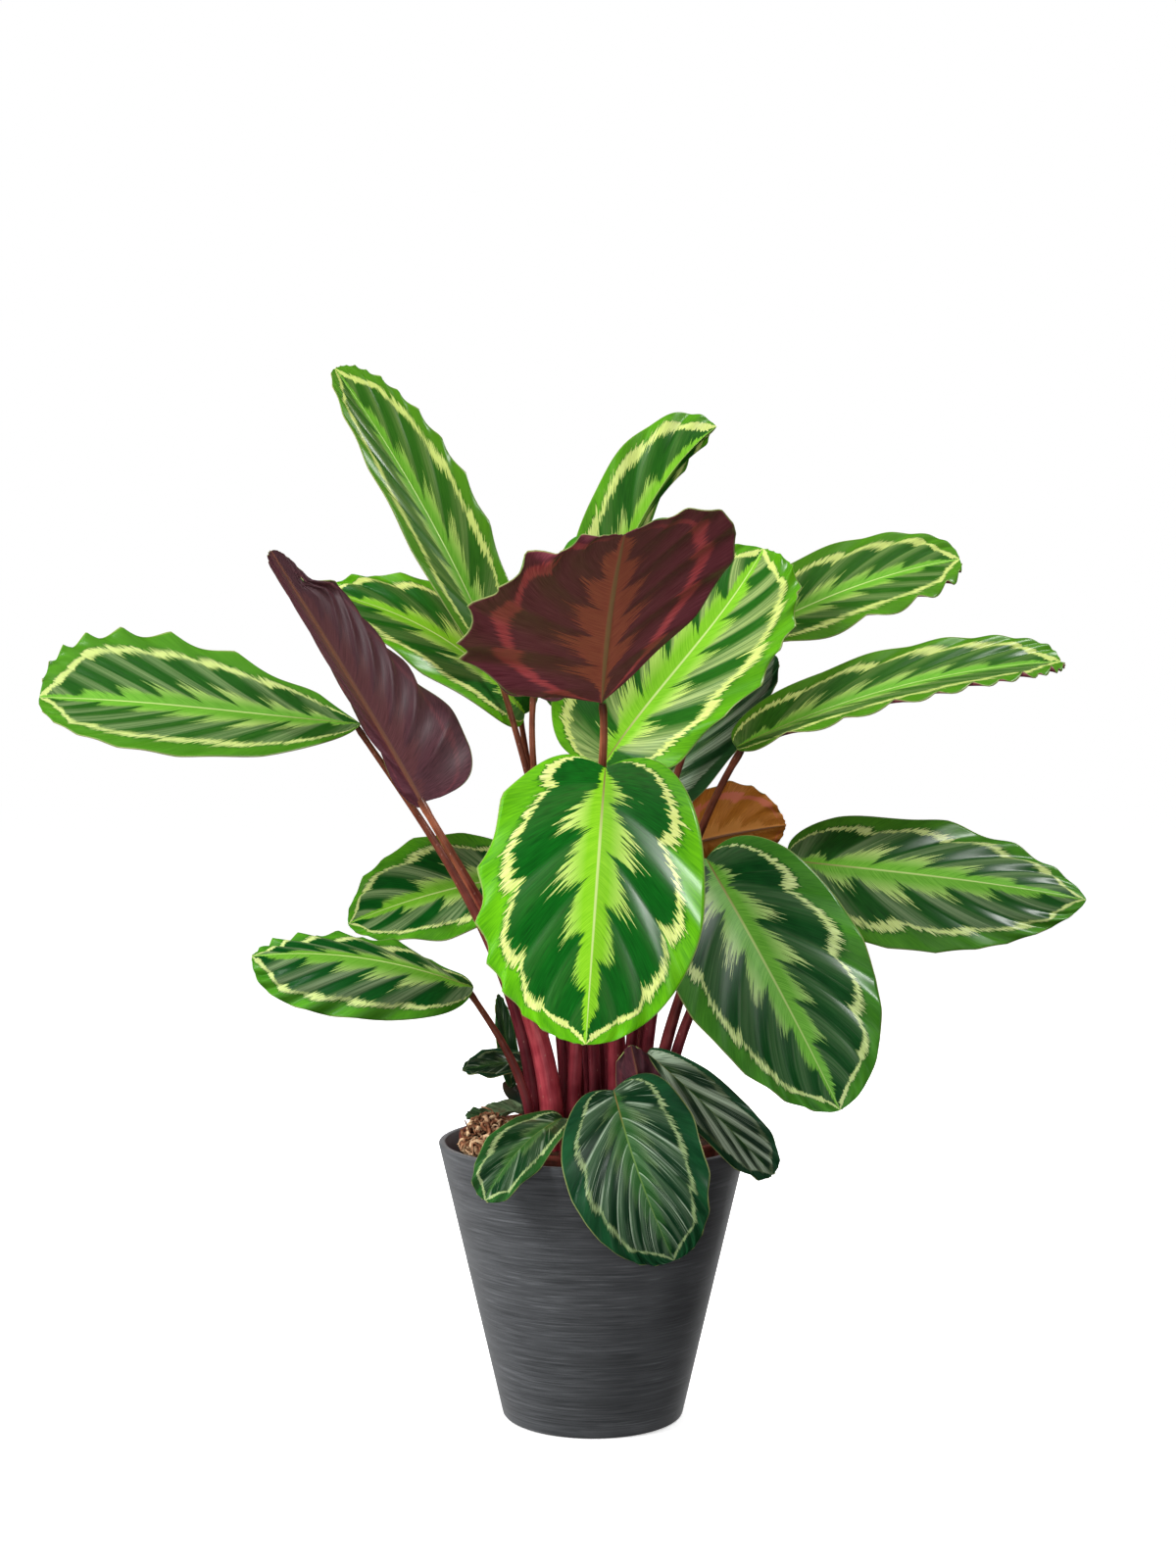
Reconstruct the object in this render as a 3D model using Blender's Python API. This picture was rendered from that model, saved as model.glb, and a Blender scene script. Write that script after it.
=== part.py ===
"""Potted calathea: a clump of broad, waved leaves on red stems, in a tapered planter.

A nursery pot full of soil stands loose inside the planter. Each leaf is a thin waved
blade on its own stem, and each stem stands in a plain hole in the soil.

Lengths in the constants and tables are millimetres and angles are degrees. The model
is in metres, +Z up, the front of the plant towards -Y, with its origin at the centre
of the planter's flat underside.
"""
import math

import bpy
import numpy as np

MM = 0.001

# Planter: a tapered plastic shell with an open top
PLANTER_TOP_RADIUS = 110.0
PLANTER_BASE_RADIUS = 64.6
PLANTER_HEIGHT = 195.0
PLANTER_WALL = 5.0
PLANTER_FLOOR = 6.0
PLANTER_FOOT_ROUND = ((2.6, 0.0), (0.6, 0.8), (0.0, 2.5))
PLANTER_RIM_ROUND = (0.5, 1.0)
FACETS = 48

# Nursery pot: a thin plastic pot that stands on the planter's floor
SEAT_GAP = 0.3
NURSERY_BASE_RADIUS = 57.0
NURSERY_RIM_RADIUS = 95.5
NURSERY_RIM_DROP = 4.0
NURSERY_LIP = 1.5
NURSERY_TOP = 200.0
NURSERY_WALL = 1.5
NURSERY_FLOOR = 1.7
NURSERY_EDGE_ROUND = 0.5

# Soil: fills the nursery pot, mounded at the crown and heaped at the front left
SOIL_EDGE_HEIGHT = 190.0
SOIL_EDGE_DIP = 0.4
SOIL_MOUND = (0.0, 0.0, 8.0, 45.0)
SOIL_HEAP = (-66.0, -36.0, 12.0, 18.0)
SOIL_RINGS = (80.0, 66.0, 52.0, 38.0, 24.0, 10.0)
SOIL_WALL_GAP = 0.35

# Blades: one thin sheet each, with a raised midrib below and a waved edge
BLADE_THICKNESS = 0.8
MIDRIB_DEPTH = 1.0
VEIN_SWEEP = 1.0
COLUMNS_PER_HALF = 3
EDGE_SCALLOP = 0.02
BASE_ROWS = (0.012, 0.035)
PLEAT_RISE = 3.0
WAVE_RISE = 2.2
UNEVEN_WAVES = 0.35
UNEVEN_TURNS = 1.7
UNEVEN_STARTS = (0.8, 0.3)
NEARLY_FLAT = 1e-6

# Stems: round stalks from the soil to the underside of the blade's base
STEM_SIDES = 6
STEM_STATIONS = 8
STEM_TAPER = 1.3
STEM_DEPTH_IN_SOIL = 12.0
STEM_COLLAR = 3.0
STEM_BLADE_GAP = 0.25
NODDING_STEM_GAP = 0.5
HOLE_CLEARANCE = 0.4
HOLE_TOP = 230.0

# Values that a leaf has unless its own row says otherwise. Pairs are the left and right
# half, seen from above with the tip pointing away, or the base end and the tip end.
#   base, tip     where the midrib starts and ends
#   face          roughly where the green upper side faces
#   half_width    from the midrib to the edge, times halves on each side
#   outline       how blunt each half is at the base end and the tip end, 0.5 is round
#   arch, sway    how far the midrib bows towards the face and to the right, per length
#   fold, curl    how steeply each half rises at the midrib, and how much more at the edge
#   curl_tip      the curl at the tip, where the leaf is rolled
#   bands         waves along each half, wave and pleat are their height at edge and middle
#   lobe          how far the base's two lobes reach back
#   root          where the stem leaves the soil
#   nod           angle between the stem's end and the blade, aim gives its direction instead
#   pull          how stiffly the stem leaves the soil and meets the blade
#   radii         the stem's radius at the soil and at the blade
#   inset, drop   where the stem's end lies under the blade's base
LEAF_DEFAULTS = dict(
    half_width=70, halves=(1.0, 1.0), outline=((0.5, 0.65), (0.5, 0.65)),
    arch=(0.05, 0.05), sway=(0.0, 0.0), fold=(10, 10), curl=(0, 0), curl_tip=None,
    bands=6, wave=(2, 2), pleat=1.0, lobe=20,
    nod=45, aim=None, pull=(0.4, 0.25), radii=(4.0, 2.0), inset=2.0, drop=0.0)

LEAVES = {
    "upper_left": dict(
        base=(-70, 10, 542), tip=(-189, 35, 753), face=(0.45, -0.9, 0.1), half_width=38,
        outline=((0.4, 0.55), (0.5, 0.5)), arch=(0.02, 0.03), sway=(0.03, 0.03),
        fold=(30, 20), wave=(1.5, 3), lobe=10, root=(-10, 14), nod=15),
    "top": dict(
        base=(-4, 10, 562), tip=(89, 0, 705), face=(-0.35, -0.9, 0.2), half_width=42,
        outline=((0.5, 0.5), (0.5, 0.5)), arch=(0.07, 0.2), sway=(0.0, -0.04),
        fold=(10, -110), root=(2, 12), nod=15, inset=-1),
    "big_purple": dict(
        base=(5, -102, 505), tip=(20, -250, 609), face=(-0.25, 0.55, 0.75), half_width=88,
        halves=(0.9, 1.15), outline=((0.9, 0.4), (0.9, 0.9)), arch=(0.03, 0.06),
        fold=(8, 0), curl=(-10, -10), wave=(4, 5), lobe=0, root=(-14, -24), nod=40,
        pull=(0.4, 0.15), radii=(4.5, 2.5)),
    "small_purple": dict(
        base=(-41, -50, 512), tip=(-30, -85, 598), face=(0, 0.9, 0.3), half_width=36,
        outline=((0.45, 0.6), (0.45, 0.6)), bands=4, root=(-12, -8), nod=20),
    "rolled": dict(
        base=(-117, -58, 437), tip=(-218, -78, 609), face=(0, 1, 0.1), half_width=62,
        halves=(1, 0.5), outline=((0.3, 0.5), (0.4, 0.4)), fold=(5, 50), curl=(30, 20),
        curl_tip=(190, 60), wave=(2, 1), lobe=35, root=(-28, -28), nod=10, radii=(6, 2.5)),
    "far_left": dict(
        base=(-165, -10, 492), tip=(-389, -30, 510), face=(0, -0.64, 0.77), half_width=64,
        outline=((0.7, 0.7), (0.9, 0.4)), arch=(0.0, 0.03), fold=(12, 14), wave=(3, 3),
        lobe=0, root=(-40, -15), aim=(-0.55, 0.05, 0.83), pull=(0.4, 0.22), radii=(5, 2),
        drop=0.25),
    "mid_left": dict(
        base=(-50, 45, 500), tip=(-202, 50, 592), face=(0, -0.7, 0.7), half_width=43,
        arch=(0.22, 0.16), bands=5, root=(-20, 22), nod=30),
    "low_left_back": dict(
        base=(-57, 37, 382), tip=(-178, 20, 347), face=(0, -0.75, 0.66), half_width=48,
        arch=(0.05, 0.08), bands=4, root=(-34, 14), nod=60),
    "low_left": dict(
        base=(-82, -60, 310), tip=(-233, -75, 333), face=(0, -0.7, 0.7), half_width=42,
        outline=((0.5, 0.4), (0.5, 0.4)), arch=(0.12, 0.14), fold=(-30, -30), bands=5,
        lobe=5, root=(-42, -34), nod=40, radii=(3.5, 2), drop=0.8),
    "tiny_left": dict(
        base=(-49, 5, 250), tip=(-93, -10, 246), face=(0, -0.7, 0.7), half_width=13,
        bands=3, wave=(1, 1), lobe=5, root=(-48, 2), nod=60, radii=(2.5, 1.5)),
    "front": dict(
        base=(8, -107, 461), tip=(-5, -190, 287), face=(0, -0.89, 0.46), half_width=78,
        halves=(0.92, 1.0), outline=((0.5, 0.55), (0.5, 0.55)), arch=(0.06, 0.04),
        fold=(-8, -8), wave=(2.5, 2.5), lobe=60, root=(18, -18), nod=125, radii=(5, 2.5),
        inset=3, drop=0.8),
    "centre_right": dict(
        base=(8, -45, 464), tip=(123, 10, 619), face=(-0.2, -0.85, 0.4), half_width=64,
        halves=(1.15, 1), outline=((0.5, 0.6), (0.5, 0.45)), arch=(0, 0), sway=(-0.02, 0.05),
        fold=(12, 14), wave=(3.5, 3.5), lobe=40, root=(16, 2), nod=15, radii=(5, 2.5)),
    "upper_right": dict(
        base=(107, 32, 554), tip=(268, 30, 613), face=(0.1, -0.7, 0.7), half_width=42,
        outline=((0.35, 0.5), (0.5, 0.5)), sway=(-0.02, -0.04), wave=(1.5, 3),
        root=(26, 16), nod=30),
    "long_right": dict(
        base=(101, -20, 475), tip=(331, -20, 536), face=(0, -0.5, 0.87), half_width=42,
        halves=(0.9, 1), outline=((0.3, 0.4), (0.45, 0.5)), arch=(0.08, 0.08),
        fold=(16, 16), wave=(1.5, 3.5), lobe=5, root=(36, 6), nod=35, radii=(4, 2.5)),
    "shaded_right": dict(
        base=(33, 62, 426), tip=(140, 95, 546), face=(-0.2, -0.85, 0.3), half_width=32,
        bands=5, root=(14, 30), nod=20),
    "copper": dict(
        base=(73, 70, 404), tip=(147, 95, 417), face=(0, 0.9, 0.3), half_width=40,
        bands=4, root=(34, 30), nod=40),
    "front_right": dict(
        base=(77, -70, 399), tip=(162, -130, 236), face=(0, -0.85, 0.45), half_width=66,
        outline=((0.5, 0.55), (0.35, 0.6)), fold=(8, 8), wave=(2.5, 2.5), lobe=35,
        root=(42, -16), nod=120, radii=(4.5, 2.5), drop=0.8),
    "far_right": dict(
        base=(139, -10, 395), tip=(347, -30, 368), face=(0, -0.88, 0.47), half_width=55,
        outline=((0.5, 0.7), (0.5, 0.7)), arch=(0.02, 0.05), fold=(-17, -17),
        root=(50, 2), nod=60, inset=3, drop=0.4),
    "rim_front": dict(
        base=(14, -70, 241), tip=(53, -130, 138), face=(-0.3, -0.8, 0.5), half_width=50,
        outline=((0.5, 0.5), (0.5, 0.5)), arch=(0.15, 0.25), fold=(14, 14), bands=5,
        root=(6, -54), nod=90, radii=(3.5, 2)),
    "rim_left": dict(
        base=(-21, -58, 220), tip=(-72, -112, 174), face=(-0.1, -0.7, 0.7), half_width=22,
        outline=((0.6, 0.4), (0.6, 0.4)), arch=(0.18, 0.24), bands=3, wave=(1.5, 1.5),
        root=(-20, -48), nod=90, radii=(3, 1.5), drop=0.3),
    "rim_right": dict(
        base=(38, -40, 262), tip=(123, -72, 183), face=(0.2, -0.8, 0.5), half_width=22,
        outline=((0.6, 0.4), (0.6, 0.4)), bands=4, wave=(1.5, 1.5), root=(32, -36), nod=90,
        radii=(3, 1.8), drop=0.3),
    "rim_purple": dict(
        base=(40, -69, 208), tip=(26, -70, 272), face=(0, 0.9, 0.2), half_width=16,
        bands=3, wave=(1.5, 1.5), root=(34, -72), nod=10, radii=(2.5, 1.8), drop=0.3),
    "young_spear": dict(
        base=(-59, 30, 227), tip=(-69, 30, 296), face=(0.3, -0.8, 0.1), half_width=6,
        bands=3, wave=(0.6, 0.6), pleat=0.3, lobe=0, root=(-40, 28), nod=10,
        radii=(2.5, 1.5)),
    "back_wide": dict(
        base=(4, 84, 405), tip=(38, 240, 425), face=(0, -0.1, 1), half_width=58,
        arch=(0.12, 0.1), bands=5, wave=(3, 3), root=(6, 58), nod=50),
    "back_left": dict(
        base=(-36, 70, 345), tip=(-80, 205, 360), face=(0, -0.2, 1), half_width=48,
        arch=(0.1, 0.12), bands=5, wave=(3, 3), root=(-20, 40), nod=50),
    "back_right": dict(
        base=(58, 72, 340), tip=(115, 205, 345), face=(0, -0.2, 1), half_width=50,
        arch=(0.12, 0.14), bands=5, wave=(3, 3), root=(24, 44), nod=50),
    "back_upright": dict(
        base=(-6, 64, 500), tip=(12, 150, 625), face=(0, -0.8, 0.6), half_width=48,
        arch=(-0.05, -0.08), bands=5, wave=(3, 3), root=(-4, 44), nod=20),
}

# Colours (linear), roughness and metallic value of each material
FINISHES = {
    "planter": ((0.075, 0.076, 0.080), 0.55, 0.0),
    "nursery_pot": ((0.42, 0.13, 0.055), 0.60, 0.0),
    "soil": ((0.035, 0.022, 0.014), 0.95, 0.0),
    "leaf_green": ((0.060, 0.220, 0.030), 0.38, 0.0),
    "leaf_purple": ((0.065, 0.018, 0.020), 0.50, 0.0),
    "stem_red": ((0.150, 0.025, 0.026), 0.42, 0.0),
}
PURPLE_SIDE_SHOWS = ("big_purple", "small_purple", "rolled", "copper", "rim_purple")


def clear_scene():
    """Remove every object that the file starts with."""
    for existing in list(bpy.data.objects):
        bpy.data.objects.remove(existing, do_unlink=True)


def make_materials():
    """One Principled material for each finish."""
    made = {}
    for name, (colour, roughness, metallic) in FINISHES.items():
        material = bpy.data.materials.new(name)
        material.use_nodes = True
        shader = material.node_tree.nodes["Principled BSDF"]
        shader.inputs["Base Color"].default_value = (*colour, 1.0)
        shader.inputs["Roughness"].default_value = roughness
        shader.inputs["Metallic"].default_value = metallic
        made[name] = material
    return made


def make_object(name, points, faces, material, origin=(0.0, 0.0, 0.0), sharp_angle=60.0):
    """A smooth-shaded mesh object of millimetre points, placed at its own origin."""
    origin = np.array(origin, float)
    mesh = bpy.data.meshes.new(name)
    local = (np.asarray(points, float) - origin) * MM
    mesh.from_pydata(local.tolist(), [], [tuple(int(i) for i in face) for face in faces])
    mesh.materials.append(material)
    mesh.shade_smooth()
    mesh.set_sharp_from_angle(angle=math.radians(sharp_angle))
    made = bpy.data.objects.new(name, mesh)
    made.location = tuple(origin * MM)
    bpy.context.scene.collection.objects.link(made)
    return made


def unit(vectors):
    """Vectors of length one, along the last axis."""
    vectors = np.asarray(vectors, float)
    return vectors / np.linalg.norm(vectors, axis=-1, keepdims=True)


# Leaf blades

def leaf_axes(leaf):
    """Straight line from base to tip: its start, end, length, direction, face and right side."""
    base = np.array(leaf["base"], float)
    tip = np.array(leaf["tip"], float)
    length = np.linalg.norm(tip - base)
    along = (tip - base) / length
    face = np.array(leaf["face"], float)
    face = unit(face - face @ along * along)
    return base, tip, length, along, face, np.cross(along, face)


def midrib_controls(leaf):
    """Four control points of the midrib's curve."""
    base, tip, length, along, face, right = leaf_axes(leaf)
    first = base + length * (along / 3 + face * leaf["arch"][0] + right * leaf["sway"][0])
    second = base + length * (along * 2 / 3 + face * leaf["arch"][1] + right * leaf["sway"][1])
    return base, first, second, tip


def cubic(controls, t):
    """Points of a cubic Bezier curve; t has a last axis of one."""
    a, b, c, d = controls
    return (1 - t) ** 3 * a + 3 * (1 - t) ** 2 * t * b + 3 * (1 - t) * t * t * c + t ** 3 * d


def cubic_direction(controls, t):
    """Unit directions of a cubic Bezier curve."""
    a, b, c, d = controls
    slope = (1 - t) ** 2 * (b - a) + 2 * (1 - t) * t * (c - b) + t * t * (d - c)
    return unit(slope)


def blade_axes(leaf, u):
    """Midrib points, directions, face directions and right sides at u, 0 base to 1 tip."""
    controls = midrib_controls(leaf)
    t = u[..., None]
    direction = cubic_direction(controls, t)
    face = leaf_axes(leaf)[4]
    face = unit(face - (direction @ face)[..., None] * direction)
    return cubic(controls, t), direction, face, np.cross(direction, face)


def blade_points(leaf, s, v):
    """Points of the upper face: s follows a side vein, v runs from edge -1 to edge 1."""
    s, v = np.broadcast_arrays(np.asarray(s, float), np.asarray(v, float))
    is_right = v > 0

    def half(pair):
        return np.where(is_right, pair[1], pair[0])

    across = np.abs(v)
    u = 1 - (1 - s) ** (1 + VEIN_SWEEP * across)
    centre, direction, face, right = blade_axes(leaf, u)

    outline = leaf["outline"]
    base_end = half((outline[0][0], outline[1][0]))
    tip_end = half((outline[0][1], outline[1][1]))
    widest = base_end / (base_end + tip_end)
    breadth = u ** base_end * (1 - u) ** tip_end
    breadth = breadth / (widest ** base_end * (1 - widest) ** tip_end)
    width = leaf["half_width"] * half(leaf["halves"])

    # waves: low at the side veins, high between them, higher towards the edge
    ripple = -np.cos(2 * np.pi * leaf["bands"] * s)
    uneven = 1 + UNEVEN_WAVES * np.sin(2 * np.pi * (UNEVEN_TURNS * s + half(UNEVEN_STARTS)))
    fade = np.minimum(1, WAVE_RISE * breadth)
    reach = across * breadth * (1 + EDGE_SCALLOP * ripple * across)
    pleat = leaf["pleat"] * across * np.minimum(1, PLEAT_RISE * reach)
    edge_wave = half(leaf["wave"]) * across ** 3 * uneven * fade
    lift = (pleat + edge_wave) * ripple * fade

    # each half is an arc that starts at the fold angle and turns by the curl angle
    fold = np.radians(half(leaf["fold"]))
    curl = np.radians(half(leaf["curl"]))
    curl_tip = np.radians(half(leaf["curl_tip"] or leaf["curl"]))
    curl = curl + (curl_tip - curl) * u + NEARLY_FLAT
    slope = fold + curl * reach
    out = width * (np.sin(slope) - np.sin(fold)) / curl - lift * np.sin(slope)
    rise = width * (np.cos(fold) - np.cos(slope)) / curl + lift * np.cos(slope)
    back = leaf["lobe"] * reach * (1 - u) ** 4
    outwards = np.where(is_right, out, -out)[..., None]
    return centre + right * outwards + face * rise[..., None] - direction * back[..., None]


def blade_rows(leaf):
    """Rows at the waves' crests and troughs, and two more in the round of the base."""
    count = 2 * leaf["bands"]
    return np.array(BASE_ROWS + tuple(k / count for k in range(1, count)))


def upper_triangles(rows, columns):
    """Triangles of the upper face: point 0 is the base, point 1 the tip, then the grid."""
    def grid(i, j):
        return 2 + i * columns + j

    triangles = [(0, grid(0, j + 1), grid(0, j)) for j in range(columns - 1)]
    for i in range(rows - 1):
        for j in range(columns - 1):
            a, b = grid(i, j), grid(i, j + 1)
            c, d = grid(i + 1, j + 1), grid(i + 1, j)
            if j < columns // 2:
                triangles += [(a, b, c), (a, c, d)]
            else:
                triangles += [(a, b, d), (b, c, d)]
    triangles += [(grid(rows - 1, j), grid(rows - 1, j + 1), 1) for j in range(columns - 1)]
    return np.array(triangles)


def point_normals(points, triangles):
    """Unit normals at the points of a mesh, from the triangles round each."""
    a, b, c = (points[triangles[:, k]] for k in range(3))
    face_normals = np.cross(b - a, c - a)
    normals = np.zeros_like(points)
    for k in range(3):
        np.add.at(normals, triangles[:, k], face_normals)
    return unit(normals)


def blade_mesh(leaf):
    """A closed thin blade: the lower face repeats the upper one's triangles."""
    s = blade_rows(leaf)
    v = np.linspace(-1, 1, 2 * COLUMNS_PER_HALF + 1)
    rows, columns = len(s), len(v)
    ends = blade_points(leaf, np.array([0.0, 1.0]), np.zeros(2))
    upper = np.vstack([ends, blade_points(leaf, s[:, None], v[None, :]).reshape(-1, 3)])
    triangles = upper_triangles(rows, columns)

    depth = np.full(len(upper), BLADE_THICKNESS)
    middle = 2 + np.arange(rows) * columns + COLUMNS_PER_HALF
    depth[middle] += MIDRIB_DEPTH * np.sqrt(1 - s)
    depth[0] += MIDRIB_DEPTH
    lower = upper - point_normals(upper, triangles) * depth[:, None]

    count = len(upper)
    faces = [tuple(t) for t in triangles]
    faces += [(a + count, c + count, b + count) for a, b, c in triangles]
    for column, flip in ((0, False), (columns - 1, True)):
        border = [0] + [2 + i * columns + column for i in range(rows)] + [1]
        for a, b in zip(border[:-1], border[1:]):
            if flip:
                a, b = b, a
            faces += [(a, b, b + count), (a, b + count, a + count)]
    return np.vstack([upper, lower]), faces


# Stems

def soil_height(x, y):
    """Height of the soil's surface."""
    height = SOIL_EDGE_HEIGHT
    for centre_x, centre_y, rise, spread in (SOIL_MOUND, SOIL_HEAP):
        distance = math.hypot(x - centre_x, y - centre_y)
        height += rise * math.exp(-(distance / spread) ** 2)
    return height


def stem_route(leaf):
    """Centre points and radii, from the bottom of the hole to under the blade's base."""
    root_radius, end_radius = leaf["radii"]
    centre, direction, face, _ = (value[0] for value in blade_axes(leaf, np.array([0.0])))
    if leaf["aim"]:
        heading = unit(leaf["aim"])
        agreement = float(heading @ direction)
    else:
        agreement = math.cos(math.radians(leaf["nod"]))
        heading = direction * agreement + face * math.sin(math.radians(leaf["nod"]))
    below = BLADE_THICKNESS + MIDRIB_DEPTH + STEM_BLADE_GAP + leaf["drop"]
    below += end_radius * agreement if agreement > 0 else NODDING_STEM_GAP
    end = centre + direction * leaf["inset"] - face * below

    x, y = leaf["root"]
    surface = soil_height(x, y)
    foot = np.array([x, y, surface - STEM_DEPTH_IN_SOIL])
    collar = np.array([x, y, surface + STEM_COLLAR])
    span = np.linalg.norm(end - collar)
    rise, approach = leaf["pull"]
    controls = (collar, collar + np.array([0, 0, rise * span]), end - heading * approach * span, end)
    t = np.linspace(0, 1, STEM_STATIONS)
    points = np.vstack([foot, cubic(controls, t[:, None])])
    radii = end_radius + (root_radius - end_radius) * (1 - t) ** STEM_TAPER
    return points, np.concatenate([[root_radius], radii])


def tube_mesh(points, radii, sides):
    """A closed tube along the points, with flat ends."""
    direction = unit(np.gradient(points, axis=0))
    across = np.array([1.0, 0.0, 0.0])
    corners = []
    for point, heading, radius in zip(points, direction, radii):
        across = unit(across - across @ heading * heading)
        beside = np.cross(heading, across)
        for k in range(sides):
            angle = 2 * math.pi * k / sides
            corners.append(point + radius * (math.cos(angle) * across + math.sin(angle) * beside))
    faces = []
    for ring in range(len(points) - 1):
        for k in range(sides):
            a = ring * sides + k
            b = ring * sides + (k + 1) % sides
            faces += [(a, b, b + sides), (a, b + sides, a + sides)]
    last = (len(points) - 1) * sides
    faces.append(tuple(reversed(range(sides))))
    faces.append(tuple(range(last, last + sides)))
    return np.array(corners), faces


# Pots and soil

def turned_mesh(profile):
    """A closed turned solid; the profile runs from the axis out, round and back to it."""
    points, rings = [], []
    for radius, height in profile:
        start = len(points)
        if radius == 0:
            points.append((0.0, 0.0, height))
            rings.append([start] * FACETS)
            continue
        for k in range(FACETS):
            angle = 2 * math.pi * k / FACETS
            points.append((radius * math.cos(angle), radius * math.sin(angle), height))
        rings.append(list(range(start, start + FACETS)))
    faces = []
    for inner, outer in zip(rings[:-1], rings[1:]):
        for k in range(FACETS):
            after = (k + 1) % FACETS
            face = (inner[k], inner[after], outer[after], outer[k])
            faces.append(tuple(dict.fromkeys(face)))
    return np.array(points), faces


def planter_profile():
    """Outside from the flat underside up, over the rim, and down to the inner floor."""
    inner_base = PLANTER_BASE_RADIUS - PLANTER_WALL
    inner_top = PLANTER_TOP_RADIUS - PLANTER_WALL
    inwards, down = PLANTER_RIM_ROUND
    foot = [(PLANTER_BASE_RADIUS - offset, up) for offset, up in PLANTER_FOOT_ROUND]
    return [(0, 0)] + foot + [
        (PLANTER_TOP_RADIUS, PLANTER_HEIGHT - down),
        (PLANTER_TOP_RADIUS - inwards, PLANTER_HEIGHT),
        (inner_top + inwards, PLANTER_HEIGHT),
        (inner_top, PLANTER_HEIGHT - down),
        (inner_base, PLANTER_FLOOR + inwards),
        (inner_base - down, PLANTER_FLOOR),
        (0, PLANTER_FLOOR)]


def nursery_inside():
    """Inner radius and height at the nursery pot's floor, and the same at its rim."""
    floor = PLANTER_FLOOR + SEAT_GAP + NURSERY_FLOOR
    base_radius = NURSERY_BASE_RADIUS + NURSERY_EDGE_ROUND - NURSERY_WALL
    rim_radius = NURSERY_RIM_RADIUS - NURSERY_LIP - NURSERY_WALL
    return (base_radius, floor), (rim_radius, NURSERY_TOP - 2 * NURSERY_EDGE_ROUND)


def nursery_profile():
    """Thin wall with a slightly wider rim, standing on the planter's floor."""
    foot = PLANTER_FLOOR + SEAT_GAP
    under_rim = NURSERY_TOP - NURSERY_RIM_DROP
    inner_floor, inner_rim = nursery_inside()
    return [
        (0, foot),
        (NURSERY_BASE_RADIUS, foot),
        (NURSERY_BASE_RADIUS + NURSERY_EDGE_ROUND, foot + NURSERY_EDGE_ROUND),
        (NURSERY_RIM_RADIUS - NURSERY_LIP, under_rim),
        (NURSERY_RIM_RADIUS, under_rim + NURSERY_EDGE_ROUND),
        (NURSERY_RIM_RADIUS, NURSERY_TOP),
        (inner_rim[0] + NURSERY_EDGE_ROUND, NURSERY_TOP),
        inner_rim,
        inner_floor,
        (0, inner_floor[1])]


def soil_radius(height):
    """Just inside the nursery pot's wall at that height."""
    (low_radius, low), (high_radius, high) = nursery_inside()
    share = (height - low) / (high - low)
    return low_radius + (high_radius - low_radius) * share - SOIL_WALL_GAP


def soil_mesh():
    """Soil body whose top follows the mound and the heap."""
    floor = nursery_inside()[0][1] + SEAT_GAP
    edge = SOIL_EDGE_HEIGHT - SOIL_EDGE_DIP
    profile = [(0, floor), (soil_radius(floor), floor), (soil_radius(edge), edge)]
    profile += [(radius, SOIL_EDGE_HEIGHT) for radius in SOIL_RINGS + (0,)]
    points, faces = turned_mesh(profile)
    for point in points:
        if point[2] >= edge:
            point[2] += soil_height(point[0], point[1]) - SOIL_EDGE_HEIGHT
    return points, faces


def stem_holes(leaves):
    """One mesh of all the holes' shapes, each a little wider and deeper than its stem."""
    points, faces = [], []
    for leaf in leaves.values():
        x, y = leaf["root"]
        bottom = soil_height(x, y) - STEM_DEPTH_IN_SOIL - SEAT_GAP
        radius = leaf["radii"][0] + HOLE_CLEARANCE
        ends = np.array([[x, y, bottom], [x, y, HOLE_TOP]])
        corners, sides = tube_mesh(ends, (radius, radius), STEM_SIDES)
        start = len(points)
        points += corners.tolist()
        faces += [tuple(start + k for k in face) for face in sides]
    return points, faces


def cut(target, cutter):
    """Cut one object's shape out of another."""
    cutter.hide_render = True
    cutter.display_type = "WIRE"
    difference = target.modifiers.new("holes", "BOOLEAN")
    difference.operation = "DIFFERENCE"
    difference.solver = "EXACT"
    difference.object = cutter


def build():
    """Make every piece of the potted plant."""
    clear_scene()
    materials = make_materials()
    leaves = {name: {**LEAF_DEFAULTS, **row} for name, row in LEAVES.items()}

    make_object("planter", *turned_mesh(planter_profile()), materials["planter"])
    make_object("nursery_pot", *turned_mesh(nursery_profile()), materials["nursery_pot"])
    soil = make_object("soil", *soil_mesh(), materials["soil"])
    cutter = make_object("stem_holes", *stem_holes(leaves), materials["soil"])
    cut(soil, cutter)

    for name, leaf in leaves.items():
        tone = "leaf_purple" if name in PURPLE_SIDE_SHOWS else "leaf_green"
        points, faces = blade_mesh(leaf)
        make_object("blade_" + name, points, faces, materials[tone], leaf["base"], 180.0)
        route, radii = stem_route(leaf)
        points, faces = tube_mesh(route, radii, STEM_SIDES)
        make_object("stem_" + name, points, faces, materials["stem_red"], route[0])


build()
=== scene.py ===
"""Finish of the potted calathea: patterned leaves on red stems, in a nursery pot of soil,
which stands loose in a tapered dark grey planter.

Sizes are millimetres and angles are degrees, turned to metres and radians where they are used.
The front of the plant faces -Y and the planter stands on z = 0.
"""
import math
from functools import partial

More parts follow.
